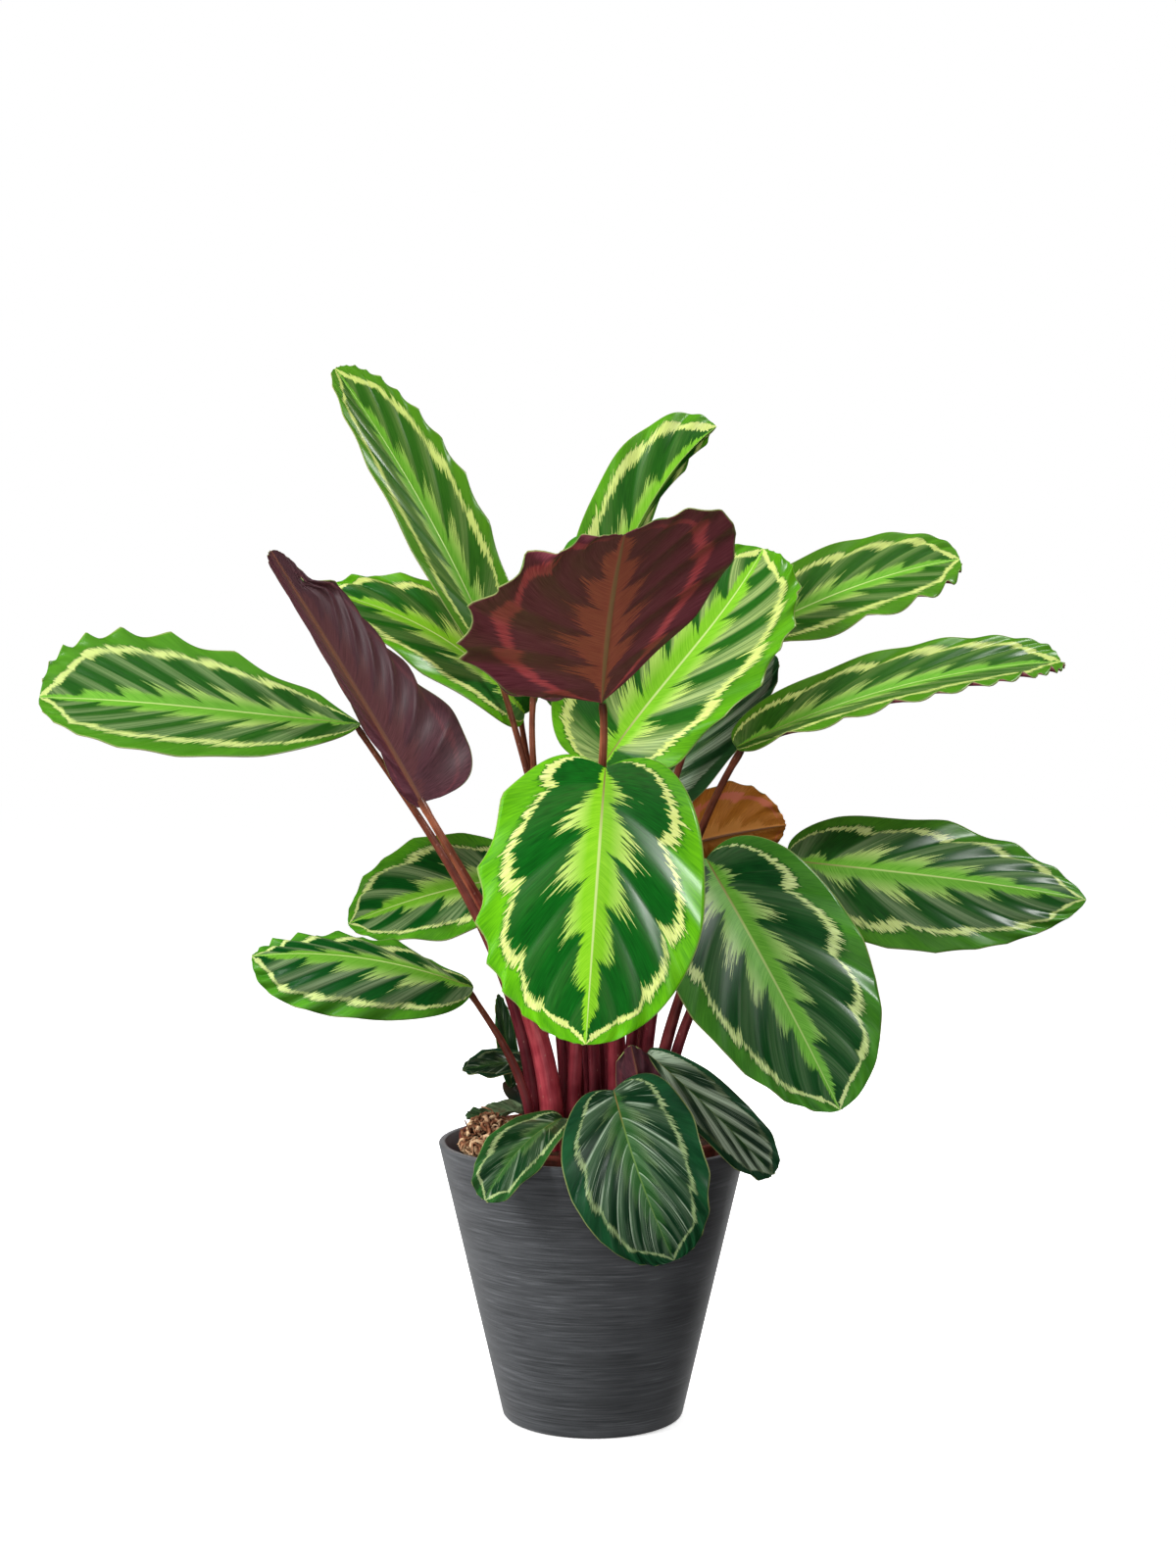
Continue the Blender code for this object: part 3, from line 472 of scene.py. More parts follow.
LEAVES = {
    "upper_left": dict(
        base=(-70, 10, 542), tip=(-189, 35, 753), face=(0.45, -0.9, 0.1), half_width=38,
        outline=((0.4, 0.54), (0.5, 0.48)), arch=(0.02, 0.03), sway=(0.03, 0.03), fold=(30, 20),
        lobe=10, bands=6, tooth=(0, 0.04), wave=(0.6, -1.2), root=(-10, 14), nod=15, youth=0.5,
        silver_and_sheen=0.3, olive=0.7, hook=0.42, band=1.5),
    "top": dict(
        base=(-4, 10, 562), tip=(89, 0, 705), face=(-0.35, -0.9, 0.2), half_width=42,
        outline=((0.5, 0.36), (0.5, 0.45)), arch=(0.07, 0.2), sway=(0.01, -0.03), fold=(10, -110),
        bands=4, tooth=(0, 0.015), root=(2, 12), nod=15, inset=-1, drop=0.3, youth=0.7, silver_and_sheen=0.1,
        olive=0.4, hook=0.3, band=2.2),
    "big_purple": dict(
        base=(5, -102, 505), tip=(20, -250, 609), face=(-0.25, 0.55, 0.75), half_width=88,
        halves=(0.9, 1.15), outline=((0.9, 0.4), (0.9, 0.9)), arch=(0.03, 0.06), fold=(8, 0),
        curl=(-10, -10), lobe=0, notch=16, horns=(14, 34), bands=6, tooth=(0.005, 0.04), wave=(1.5, 5),
        root=(-14, -24), nod=40, pull=(0.4, 0.15), radii=(4.5, 2.5), hook=0.3, band=1.9, sheath=1.2,
        rosy=0.45, dark=0.0),
    "small_purple": dict(
        base=(-41, -50, 512), tip=(-30, -85, 598), face=(0, 0.9, 0.3), half_width=36,
        outline=((0.45, 0.6), (0.45, 0.6)), bands=4, root=(-12, -8), nod=20, hook=0.3, band=2.0,
        plum=0.8),
    "rolled": dict(
        base=(-117, -58, 437), tip=(-218, -78, 609), face=(0, 1, 0.1), half_width=62, halves=(1, 0.5),
        outline=((0.3, 0.5), (0.4, 0.4)), fold=(5, 50), curl=(30, 20), curl_tip=(190, 60), lobe=14,
        shoulder=(0.7, 0), bands=9, pleat=2.6, wave=(2, 1), root=(-28, -28), nod=10, radii=(6, 2.5),
        plum=1.0, sheath=1.5, rosy=1.0, dark=0.0),
    "far_left": dict(
        base=(-165, -10, 492), tip=(-389, -30, 510), face=(0, -0.64, 0.77), half_width=64,
        halves=(1.15, 1.0), outline=((0.7, 0.6), (0.9, 0.34)), arch=(0.0, 0.03), fold=(12, 14), lobe=0,
        bands=8, teeth=1, tooth=(0, 0.05), wave=(0.4, -1.0), root=(-40, -15), aim=(-0.55, 0.05, 0.83),
        pull=(0.4, 0.22), radii=(5, 2), drop=0.25, youth=0.45, silver_and_sheen=0.4, olive=0.35, hook=0.36),
    "mid_left": dict(
        base=(-50, 45, 500), tip=(-202, 50, 592), face=(0, -0.7, 0.7), half_width=43, arch=(0.22, 0.16),
        root=(-20, 22), nod=30, youth=0.9, silver_and_sheen=0.2, olive=0.25, hook=0.4),
    "low_left_back": dict(
        base=(-57, 37, 382), tip=(-178, 20, 347), face=(0, -0.75, 0.66), half_width=48,
        arch=(0.05, 0.08), bands=4, root=(-34, 14), nod=60, youth=0.65, silver_and_sheen=0.5, hook=0.4, band=1.1),
    "low_left": dict(
        base=(-82, -60, 310), tip=(-233, -75, 333), face=(0, -0.7, 0.7), half_width=42,
        outline=((0.5, 0.4), (0.5, 0.4)), arch=(0.12, 0.14), fold=(-30, -30), lobe=5, bands=6,
        tooth=(0, 0.03), root=(-42, -34), nod=40, radii=(3.5, 2), drop=0.8, youth=0.52, silver_and_sheen=0.5,
        hook=0.3, band=1.2),
    "tiny_left": dict(
        base=(-49, 5, 250), tip=(-93, -10, 246), face=(0, -0.7, 0.7), half_width=13, lobe=5, bands=3,
        wave=(1, 1), root=(-48, 2), nod=60, radii=(2.5, 1.5), youth=0.0, silver_and_sheen=0.0, ring=0.3,
        feather=0.2, green=0.8),
    "front": dict(
        base=(8, -107, 461), tip=(-5, -190, 287), face=(0, -0.89, 0.46), half_width=78,
        halves=(0.92, 1.0), outline=((0.5, 0.55), (0.5, 0.55)), arch=(0.06, 0.04), fold=(-8, -8),
        lobe=60, tooth=(0, 0.04), wave=(2.5, -1.5), root=(18, -18), nod=125, radii=(5, 2.5), inset=3,
        drop=0.8, youth=1.0, silver_and_sheen=0.03, hook=1.0, band=1.2, sheath=1.5, rosy=0.5, dark=0.1),
    "centre_right": dict(
        base=(8, -45, 464), tip=(123, 10, 619), face=(-0.2, -0.85, 0.4), half_width=64,
        halves=(1.15, 1), outline=((0.5, 0.6), (0.5, 0.45)), arch=(0, 0), sway=(-0.02, 0.05),
        fold=(12, 14), lobe=40, bands=6, tooth=(0.01, 0.04), wave=(3.5, 3.5), root=(16, 2), nod=15,
        radii=(5, 2.5), youth=0.85, silver_and_sheen=0.9, olive=0.35, hook=0.75, band=1.5),
    "upper_right": dict(
        base=(107, 32, 554), tip=(268, 30, 613), face=(0.1, -0.7, 0.7), half_width=42,
        outline=((0.35, 0.4), (0.5, 0.4)), sway=(-0.02, -0.04), bands=6, teeth=1, tooth=(0, -0.06),
        wave=(1, -1.5), root=(26, 16), nod=30, youth=0.5, silver_and_sheen=0.35, olive=0.6, hook=0.35, band=1.4),
    "long_right": dict(
        base=(101, -20, 475), tip=(331, -20, 536), face=(0, -0.5, 0.87), half_width=42, halves=(0.9, 1),
        outline=((0.3, 0.3), (0.45, 0.34)), arch=(0.08, 0.08), fold=(16, 16), lobe=5, bands=7,
        tooth=(0, -0.065), wave=(1, -1.5), root=(36, 6), nod=35, radii=(4, 2.5), youth=0.45, olive=0.6,
        hook=0.3, band=1.5),
    "shaded_right": dict(
        base=(33, 62, 426), tip=(140, 95, 546), face=(-0.2, -0.85, 0.3), half_width=32, sweep=3.5,
        root=(14, 30), nod=20, youth=0.0, silver_and_sheen=0.7, olive=0.1, ring=0.0, feather=0.2),
    "copper": dict(
        base=(73, 70, 404), tip=(147, 95, 417), face=(0, 0.9, 0.3), half_width=40, bands=4,
        tooth=(0.03, 0.03), root=(34, 30), nod=40, hook=0.3, band=2.2, glow=1.0),
    "front_right": dict(
        base=(77, -70, 399), tip=(162, -130, 236), face=(0, -0.85, 0.45), half_width=66,
        outline=((0.5, 0.55), (0.35, 0.6)), fold=(8, 8), lobe=35, bands=6, tooth=(0.004, 0.004),
        wave=(2.5, 2.5), root=(42, -16), nod=120, radii=(4.5, 2.5), drop=0.8, youth=0.35, silver_and_sheen=0.1,
        band=1.0),
    "far_right": dict(
        base=(139, -10, 395), tip=(347, -30, 368), face=(0, -0.88, 0.47), half_width=55,
        outline=((0.5, 0.7), (0.5, 0.7)), arch=(0.02, 0.05), fold=(-17, -17), bands=6,
        tooth=(0.004, 0.012), root=(50, 2), nod=60, inset=3, drop=0.4, youth=0.42, silver_and_sheen=0.35,
        olive=0.15, hook=0.45, band=1.1),
    "rim_front": dict(
        base=(14, -70, 241), tip=(53, -130, 138), face=(-0.3, -0.8, 0.5), half_width=50,
        halves=(1.0, 0.96), outline=((0.5, 0.5), (0.5, 0.5)), arch=(0.15, 0.25), fold=(14, 14), bands=8,
        sweep=4.5, tooth=(0.004, 0.004), root=(6, -54), nod=90, radii=(3.5, 2), youth=0.0, silver_and_sheen=0.12,
        ring=0.6, hook=0.35, band=0.8, feather=0.22),
    "rim_left": dict(
        base=(-21, -58, 220), tip=(-72, -112, 174), face=(-0.1, -0.7, 0.7), half_width=22,
        outline=((0.6, 0.4), (0.6, 0.4)), arch=(0.18, 0.24), bands=3, wave=(1.5, 1.5), root=(-20, -48),
        nod=90, radii=(3, 1.5), drop=0.3, youth=0.12, silver_and_sheen=0.1, ring=0.8, feather=0.3),
    "rim_right": dict(
        base=(38, -40, 262), tip=(123, -72, 183), face=(0.2, -0.8, 0.5), half_width=22,
        outline=((0.6, 0.4), (0.6, 0.4)), bands=4, sweep=4, wave=(1.5, 1.5), root=(32, -36), nod=90,
        radii=(3, 1.8), drop=0.3, youth=0.0, silver_and_sheen=1.3, ring=0.15, feather=0.1),
    "rim_purple": dict(
        base=(40, -69, 208), tip=(26, -70, 272), face=(0, 0.9, 0.2), half_width=16, halves=(1, 1.4),
        fold=(10, 34), bands=3, wave=(1.5, 1.5), root=(34, -72), nod=10, radii=(2.5, 1.8), drop=0.3,
        plum=1.0),
    "young_spear": dict(
        base=(-59, 30, 227), tip=(-69, 30, 296), face=(0.3, -0.8, 0.1), half_width=8, lobe=0, bands=3,
        pleat=0.3, wave=(0.6, 0.6), root=(-40, 28), nod=10, radii=(6, 4.5), youth=0.1, silver_and_sheen=0.0,
        ring=0.0, feather=0.1, sheath=1.2, green=1.0),
    "back_wide": dict(
        base=(4, 84, 405), tip=(38, 240, 425), face=(0, -0.1, 1), half_width=58, arch=(0.12, 0.1),
        wave=(3, 3), root=(6, 58), nod=50, youth=0.2),
    "back_left": dict(
        base=(-36, 70, 345), tip=(-80, 205, 360), face=(0, -0.2, 1), half_width=48, arch=(0.1, 0.12),
        wave=(3, 3), root=(-20, 40), nod=50, youth=0.3),
    "back_right": dict(
        base=(58, 72, 340), tip=(115, 205, 345), face=(0, -0.2, 1), half_width=50, arch=(0.12, 0.14),
        wave=(3, 3), root=(24, 44), nod=50, youth=0.25),
    "back_upright": dict(
        base=(-6, 64, 500), tip=(12, 150, 625), face=(0, -0.8, 0.6), half_width=48, arch=(-0.05, -0.08),
        wave=(3, 3), root=(-4, 44), nod=20, youth=0.3),
}
LEAVES = {name: {**LEAF_DEFAULTS, **row} for name, row in LEAVES.items()}


def unit(vectors):
    """Vectors of length one, along the last axis."""
    vectors = np.asarray(vectors, float)
    return vectors / np.linalg.norm(vectors, axis=-1, keepdims=True)


def leaf_axes(leaf):
    """Straight line from base to tip: its start, end, length, direction, face and right side."""
    base = np.array(leaf["base"], float)
    tip = np.array(leaf["tip"], float)
    length = np.linalg.norm(tip - base)
    along = (tip - base) / length
    face = np.array(leaf["face"], float)
    face = unit(face - face @ along * along)
    return base, tip, length, along, face, np.cross(along, face)


def midrib_controls(leaf):
    """Four control points of the midrib's curve."""
    base, tip, length, along, face, right = leaf_axes(leaf)
    first = base + length * (along / 3 + face * leaf["arch"][0] + right * leaf["sway"][0])
    second = base + length * (along * 2 / 3 + face * leaf["arch"][1] + right * leaf["sway"][1])
    return base, first, second, tip


def cubic(controls, t):
    """Points of a cubic Bezier curve; t has a last axis of one."""
    a, b, c, d = controls
    return (1 - t) ** 3 * a + 3 * (1 - t) ** 2 * t * b + 3 * (1 - t) * t * t * c + t ** 3 * d


def cubic_direction(controls, t):
    """Unit directions of a cubic Bezier curve."""
    a, b, c, d = controls
    slope = (1 - t) ** 2 * (b - a) + 2 * (1 - t) * t * (c - b) + t * t * (d - c)
    return unit(slope)


def blade_axes(leaf, u):
    """Midrib points, directions, face directions and right sides at u, 0 base to 1 tip."""
    controls = midrib_controls(leaf)
    t = u[..., None]
    direction = cubic_direction(controls, t)
    face = leaf_axes(leaf)[4]
    face = unit(face - (direction @ face)[..., None] * direction)
    return cubic(controls, t), direction, face, np.cross(direction, face)


def vein_count(leaf, s, v):
    """Side veins between the base and s: closer together near the base, and alternate."""
    return VEIN_START + VEIN_STAGGER * (v > 0) + leaf["bands"] * (1 - (1 - s) ** VEIN_SPREAD)


def place_along(leaf, s, v):
    """Place along the midrib, 0 base to 1 tip, that a side vein has reached at v."""
    swept = (1 - s) ** (leaf["sweep"] * np.abs(v) ** VEIN_BEND)
    return 1 - (1 - s) * (TIP_SPREAD + (1 - TIP_SPREAD) * swept)


def blade_points(leaf, s, v):
    """Points of the upper face: s follows a side vein, v runs from edge -1 to edge 1."""
    s, v = np.broadcast_arrays(np.asarray(s, float), np.asarray(v, float))
    is_right = v > 0

    def half(pair):
        return np.where(is_right, pair[1], pair[0])

    across = np.abs(v)
    u = place_along(leaf, s, v)
    veins = vein_count(leaf, s, v)
    centre, direction, face, right = blade_axes(leaf, u)

    outline = leaf["outline"]
    base_end = half((outline[0][0], outline[1][0]))
    tip_end = half((outline[0][1], outline[1][1]))
    widest = base_end / (base_end + tip_end)
    breadth = u ** base_end * (1 - u) ** tip_end
    breadth = breadth / (widest ** base_end * (1 - widest) ** tip_end)
    past_shoulder = np.clip((u - SHOULDER_FROM) / (SHOULDER_TO - SHOULDER_FROM), 0, 1)
    breadth = breadth * (1 - half(leaf["shoulder"]) * past_shoulder ** 2 * (3 - 2 * past_shoulder))
    width = leaf["half_width"] * half(leaf["halves"])

    # waves: creased at the side veins, puffed between them, and pointed where each vein ends; high
    # powers of across keep them near the edge, and further down those of u stay near the tip
    ripple = -np.cos(2 * np.pi * veins)
    tooth = 1 - 2 * np.abs(np.sin(np.pi * leaf["teeth"] * veins))
    puff = 2 * np.abs(np.sin(np.pi * veins)) ** PUFF_POWER - 1
    uneven = 1 + UNEVEN_WAVES * np.sin(2 * np.pi * (UNEVEN_TURNS * s + half(UNEVEN_STARTS)))
    fade = np.minimum(1, WAVE_RISE * breadth)
    reach = across * breadth * (1 + half(leaf["tooth"]) * tooth * across ** 6)
    pleat = leaf["pleat"] * across * (1 - EDGE_CALM * across ** 4) * np.minimum(1, PLEAT_RISE * reach) * puff
    edge_wave = half(leaf["wave"]) * across ** 3 * uneven * fade * ripple
    lift = (pleat + edge_wave + TOOTH_RISE * np.abs(half(leaf["tooth"])) * tooth * across ** 8) * fade

    # each half is an arc that starts at the fold angle and turns by the curl angle
    fold = np.radians(half(leaf["fold"]))
    curl = np.radians(half(leaf["curl"]))
    curl_tip = np.radians(half(leaf["curl_tip"] or leaf["curl"]))
    curl = curl + (curl_tip - curl) * u + NEARLY_FLAT
    slope = fold + curl * reach
    out = width * (np.sin(slope) - np.sin(fold)) / curl - lift * np.sin(slope)
    rise = width * (np.cos(fold) - np.cos(slope)) / curl + lift * np.cos(slope)
    back = leaf["lobe"] * reach * (1 - u) ** 4
    back = back + leaf["notch"] * (1 - reach) * u ** 10 - half(leaf["horns"]) * reach * u ** 6
    outwards = np.where(is_right, out, -out)[..., None]
    points = centre + right * outwards + face * rise[..., None] - direction * back[..., None]

    # drawn in a little towards the base, which keeps it inside the CAD model's box
    return leaf["base"] + (points - leaf["base"]) * SNUG


def grid_normals(points):
    """Unit normals of a grid of points, rows from base to tip and columns from left to right."""
    return unit(np.cross(np.gradient(points, axis=1), np.gradient(points, axis=0)))


def blade_mesh(name, leaf, number):
    """A closed thin blade with a fine grid on both faces and a rounded midrib below."""
    rows = leaf["bands"] * ROWS_PER_BAND
    s = 1 - ((1 + np.cos(np.pi * np.arange(1, rows) / rows)) / 2) ** ROW_CROWDING
    v = np.array([-value for value in reversed(ACROSS[1:])] + list(ACROSS))
    grid = blade_points(leaf, s[:, None], v[None, :])
    ends = blade_points(leaf, np.array([0.0, 1.0]), np.zeros(2))
    normals = grid_normals(grid)
    middle = len(ACROSS) - 1
    end_normals = normals[[0, -1], middle]

    # below, the midrib stands out as a round rib that fades towards the tip
    width = np.linalg.norm(grid - grid[:, [middle]], axis=-1)
    rib_radius = MIDRIB_TIP_RADIUS + MIDRIB_WIDENING * np.sqrt(1 - s[:, None])
    rib = MIDRIB_DEPTH * np.sqrt(1 - s[:, None]) * np.exp(-(width / rib_radius) ** 2)
    lower = grid - normals * (BLADE_THICKNESS + rib)[..., None]
    lower_ends = ends - end_normals * np.array([[BLADE_THICKNESS + MIDRIB_DEPTH], [BLADE_THICKNESS]])

    columns = len(v)
    count = 2 + grid.shape[0] * columns
    points = np.vstack([ends, grid.reshape(-1, 3), lower_ends, lower.reshape(-1, 3)])

    def at(i, j):
        return 2 + i * columns + j

    faces = [(0, at(0, j + 1), at(0, j)) for j in range(columns - 1)]
    last = grid.shape[0] - 1
    for i in range(last):
        faces += [(at(i, j), at(i, j + 1), at(i + 1, j + 1), at(i + 1, j)) for j in range(columns - 1)]
    faces += [(at(last, j), at(last, j + 1), 1) for j in range(columns - 1)]
    faces += [tuple(count + k for k in reversed(face)) for face in faces]
    for column, flip in ((0, False), (columns - 1, True)):
        border = [0] + [at(i, column) for i in range(last + 1)] + [1]
        for a, b in zip(border[:-1], border[1:]):
            if flip:
                a, b = b, a
            faces.append((a, b, b + count, a + count))

    # vein_place: side veins counted from the base, place across, and place along the midrib
    u = place_along(leaf, s[:, None], v[None, :])
    first_vein = VEINS_APART * number
    veins = first_vein + vein_count(leaf, s[:, None], v[None, :])
    place = np.stack([veins, 0 * veins + v, u], axis=-1).reshape(-1, 3)
    end_places = [(first_vein + vein_count(leaf, end, 0), 0, end) for end in (0, 1)]
    one_side = np.vstack([end_places, place])
    kinds = [np.tile((side, leaf["youth"], leaf["silver_and_sheen"]), (count, 1)) for side in (0.0, 1.0)]
    marks = np.tile((leaf["ring"], leaf["feather"], leaf["glow"] - leaf["plum"]), (2 * count, 1))
    rings = np.tile((leaf["hook"], leaf["band"], leaf["olive"]), (2 * count, 1))
    mesh = new_mesh(name, points, faces=faces, vein_place=np.vstack([one_side, one_side]),
                    leaf_kind=np.vstack(kinds), leaf_marks=marks, leaf_ring=rings)
    mesh.shade_smooth()
    return mesh


def carried(add, *names):
    """The numbers that a mesh's points carry under these names, three to a name."""
    triples = [add("SeparateXYZ", [add("Attribute", attribute_name=name)]) for name in names]
    return [number for triple in triples for number in triple.outputs]


def leaf_skin():
    """Waxy leaf: margin, pale ragged ring, dark lobes and a feathered middle; maroon underneath."""
    material, add = new_material("waxy calathea leaf")
    (veins, side_place, along, side, youth, silver_and_sheen, ring_mark, feather_mark, special, hook, band,
     olive) = carried(add, "vein_place", "leaf_kind", "leaf_marks", "leaf_ring")
    across = add("Math", [side_place], "ABSOLUTE")
    phase = add("Math", [veins], "FRACT")

    # streaks follow the side veins: about twenty-five between two veins, and each is long
    streak_at = add("CombineXYZ", [veins, side_place, 0.0])
    long_streaks = streaks(add, streak_at, (27, 1.3, 1), 2.0)
    fine_streaks = streaks(add, streak_at, (66, 6, 1), 1.0)
    slow = streaks(add, streak_at, (1.7, 2.2, 1), 1.0)
    jag, fine_jag, wander = (
        add("MapRange", [noise, 0.3, 0.7, -1.0, 1.0], clamp=False)
        for noise in (long_streaks, fine_streaks, slow))

    # ring: its middle line bulges out in each lobe and comes back in along the next vein
    skewed = add("Math", [phase, 1.25], "POWER")
    rest = add("Math", [1.0, skewed], "SUBTRACT")
    bulge = add("Math", [skewed, rest], "MULTIPLY")
    bulge = add("Math", [bulge, 0.65], "POWER")
    swing = add("Math", [bulge, 0.43, -0.11], "MULTIPLY_ADD")
    calmer = add("MapRange", [along, 0.6, 1.0, 1.0, 0.4])
    swing = add("Math", [swing, calmer], "MULTIPLY")
    middle = add("Math", [swing, hook, 0.72], "MULTIPLY_ADD")
    middle = add("Math", [wander, 0.03, middle], "MULTIPLY_ADD")
    closing = add("MapRange", [along, 0.88, 1.0, 1.0, 0.1])
    middle = add("Math", [middle, closing], "MULTIPLY")
    thickness = add("Math", [phase, 0.028, 0.018], "MULTIPLY_ADD")
    broader = add("MapRange", [along, 0.8, 1.0, 1.0, 2.6])
    for factor in (broader, band):
        thickness = add("Math", [thickness, factor], "MULTIPLY")

    # its inner and outer border are ragged, the more so the broader it is
    ragged = add("Math", [jag, band], "MULTIPLY")
    past = []
    for side_of_middle, rag, fine_rag in (("SUBTRACT", 0.037, 0.028), ("ADD", -0.03, 0.038)):
        border = add("Math", [middle, thickness], side_of_middle)
        border = add("Math", [ragged, rag, border], "MULTIPLY_ADD")
        border = add("Math", [fine_jag, fine_rag, border], "MULTIPLY_ADD")
        past.append(add("Math", [across, border], "SUBTRACT"))
    fringe = add("MapRange", [past[1], 0.02, 0.035, 1.0, 0.0])
    past_inner, past_outer = (add("MapRange", [by, -0.006, 0.006, 0.0, 1.0]) for by in past)
    in_ring = add("Math", [past_inner, past_outer], "SUBTRACT")
    in_ring = add("Math", [in_ring, ring_mark], "MULTIPLY")

    # feather: widens towards the next vein, is cut back there, and narrows to both ends
    reach = add("MapRange", [phase, 0.0, 0.5, 0.42, 1.0])
    cut_back = add("MapRange", [phase, 0.72, 0.98, 1.0, 0.35])
    start = add("MapRange", [along, 0.0, 0.2, 0.25, 1.0])
    end = add("MapRange", [along, 0.4, 1.0, 1.0, 0.2])
    tips = add("Math", [jag, 0.42, 1.0], "MULTIPLY_ADD")
    tips = add("Math", [fine_jag, 0.25, tips], "MULTIPLY_ADD")
    for factor in (cut_back, start, end, tips, FEATHER_REACH):
        reach = add("Math", [reach, factor], "MULTIPLY")
    past_feather = add("Math", [across, reach], "SUBTRACT")
    in_feather = add("MapRange", [past_feather, -0.02, 0.008, 1.0, 0.0])
    in_feather = add("Math", [in_feather, feather_mark], "MULTIPLY")

    # from below the ring shows through wider and softer
    from_middle = add("Math", [across, middle], "SUBTRACT")
    from_middle = add("Math", [from_middle], "ABSOLUTE")
    from_middle = add("Math", [jag, 0.03, from_middle], "MULTIPLY_ADD")
    from_middle = add("Math", [from_middle, thickness], "SUBTRACT")
    below_ring = add("MapRange", [from_middle, -0.02, 0.02, 1.0, 0.0])
    below_end = add("MapRange", [along, 0.84, 0.97, 1.0, 0.0])
    below_ring = add("Math", [below_ring, below_end], "MULTIPLY")

    # upper side: dark and light tone of the old leaf, then of the young one
    shade = add("MapRange", [fine_streaks, 0.25, 0.75, 0.0, 1.0])
    margin_tone = add("Math", [slow, fine_streaks], "ADD")
    margin_tone = add("MapRange", [margin_tone, 0.7, 1.3, 0.0, 1.0])
    colours = []
    for tone, old, young in (
            (shade, ("#051d0e", "#10361c"), ("#043a0a", "#106a18")),
            (margin_tone, ("#0c301a", "#1c4e2c"), ("#44900a", "#6cbc10")),
            (shade, ("#86a064", "#b8cc92"), ("#bcd060", "#e2e89a")),
            (shade, ("#2e6a26", "#5c9a46"), ("#68b010", "#90cc2c"))):
        old, young = (painted(add, dark, (tone, light)) for dark, light in (old, young))
        colours.append(painted(add, old, (youth, young)))
    deep, margin, pale, green = colours
    yellowed = add("Math", [olive, 0.8], "MULTIPLY")
    margin = painted(add, margin, (yellowed, "#4e7c12"))
    pale = painted(add, pale, (yellowed, "#bac65a"))
    outwards = add("MapRange", [across, 0.1, 0.36, 0.0, 0.85])
    feather = painted(add, green, (outwards, pale))

    # each lobe is deepest beside its outer vein; where it rises from the inner one a painted sheen
    # greys it, the sky's reflection on that slope painted into its colour
    sky_sheen = add("MapRange", [phase, 0.1, 0.6, 0.4, 0.0])
    sky_sheen = add("Math", [sky_sheen, long_streaks], "MULTIPLY")
    olive_tone = painted(add, "#20500c", (shade, "#40721a"))
    deep = painted(add, deep, (sky_sheen, "#31602c"), (olive, olive_tone))

    # silver: a sheen beside each side vein, partly the leaf's silvery tone and partly painted sheen,
    # light glancing off the pleats; on old leaves a pale line along the vein and thin streaks, partly
    # pale vein and partly painted sheen
    back_phase = add("Math", [1.0, phase], "SUBTRACT")
    near_vein = add("Math", [phase, back_phase], "MINIMUM")
    for streak, amount in ((wander, 0.03), (jag, 0.02)):
        near_vein = add("Math", [streak, amount, near_vein], "MULTIPLY_ADD")
    vein_line = add("MapRange", [near_vein, 0.01, 0.08, 1.0, 0.0])
    thin_streak = add("MapRange", [long_streaks, 0.58, 0.66, 0.0, 0.7])
    vein_line = add("Math", [vein_line, thin_streak], "MAXIMUM")
    on_old = add("MapRange", [youth, 0.0, 0.4, 0.9, 0.0])
    patchy = add("MapRange", [slow, 0.42, 0.58, 0.05, 1.0])
    for factor in (on_old, patchy):
        vein_line = add("Math", [vein_line, factor], "MULTIPLY")
    stripe = add("MapRange", [phase, 0.02, 0.12, 0.0, 1.0])
    stripe_end = add("MapRange", [phase, 0.3, 0.62, 1.0, 0.0])
    stripe_tone = add("MapRange", [long_streaks, 0.36, 0.6, 0.25, 1.0])
    for factor in (stripe_end, stripe_tone, silver_and_sheen):
        stripe = add("Math", [stripe, factor], "MULTIPLY")
    stripe = add("Math", [stripe, vein_line], "MAXIMUM")
    sheen_stripe_colour = painted(add, "#a2b69c", (youth, "#acc474"), (olive, "#8c9c48"))
    for factor in (past_outer, 0.8):
        fringe = add("Math", [fringe, factor], "MULTIPLY")
    upper = painted(add, deep, (stripe, sheen_stripe_colour), (past_outer, margin), (fringe, deep),
                    (in_ring, pale), (in_feather, feather))

    # lower side: maroon; copper where light shines through, and plum on some young leaves
    lower, below_margin, below_pale, below_feather, lit, plum_tone = (
        painted(add, dark, (shade, light)) for dark, light in (
            ("#682a34", "#8c4c54"), ("#662834", "#8a4650"), ("#b23e46", "#d86468"),
            ("#a84c42", "#c86a58"), ("#b0641a", "#e0983c"), ("#2a151b", "#523038")))
    lit = painted(add, lit, (below_ring, "#e48460"), (in_feather, "#e8a04c"))
    glow = add("MapRange", [special, 0.0, 1.0, 0.0, 1.0])
    plum = add("MapRange", [special, 0.0, -1.0, 0.0, 0.92])
    lower = painted(add, lower, (past_outer, below_margin), (below_ring, below_pale),
                    (in_feather, below_feather), (glow, lit), (plum, plum_tone))

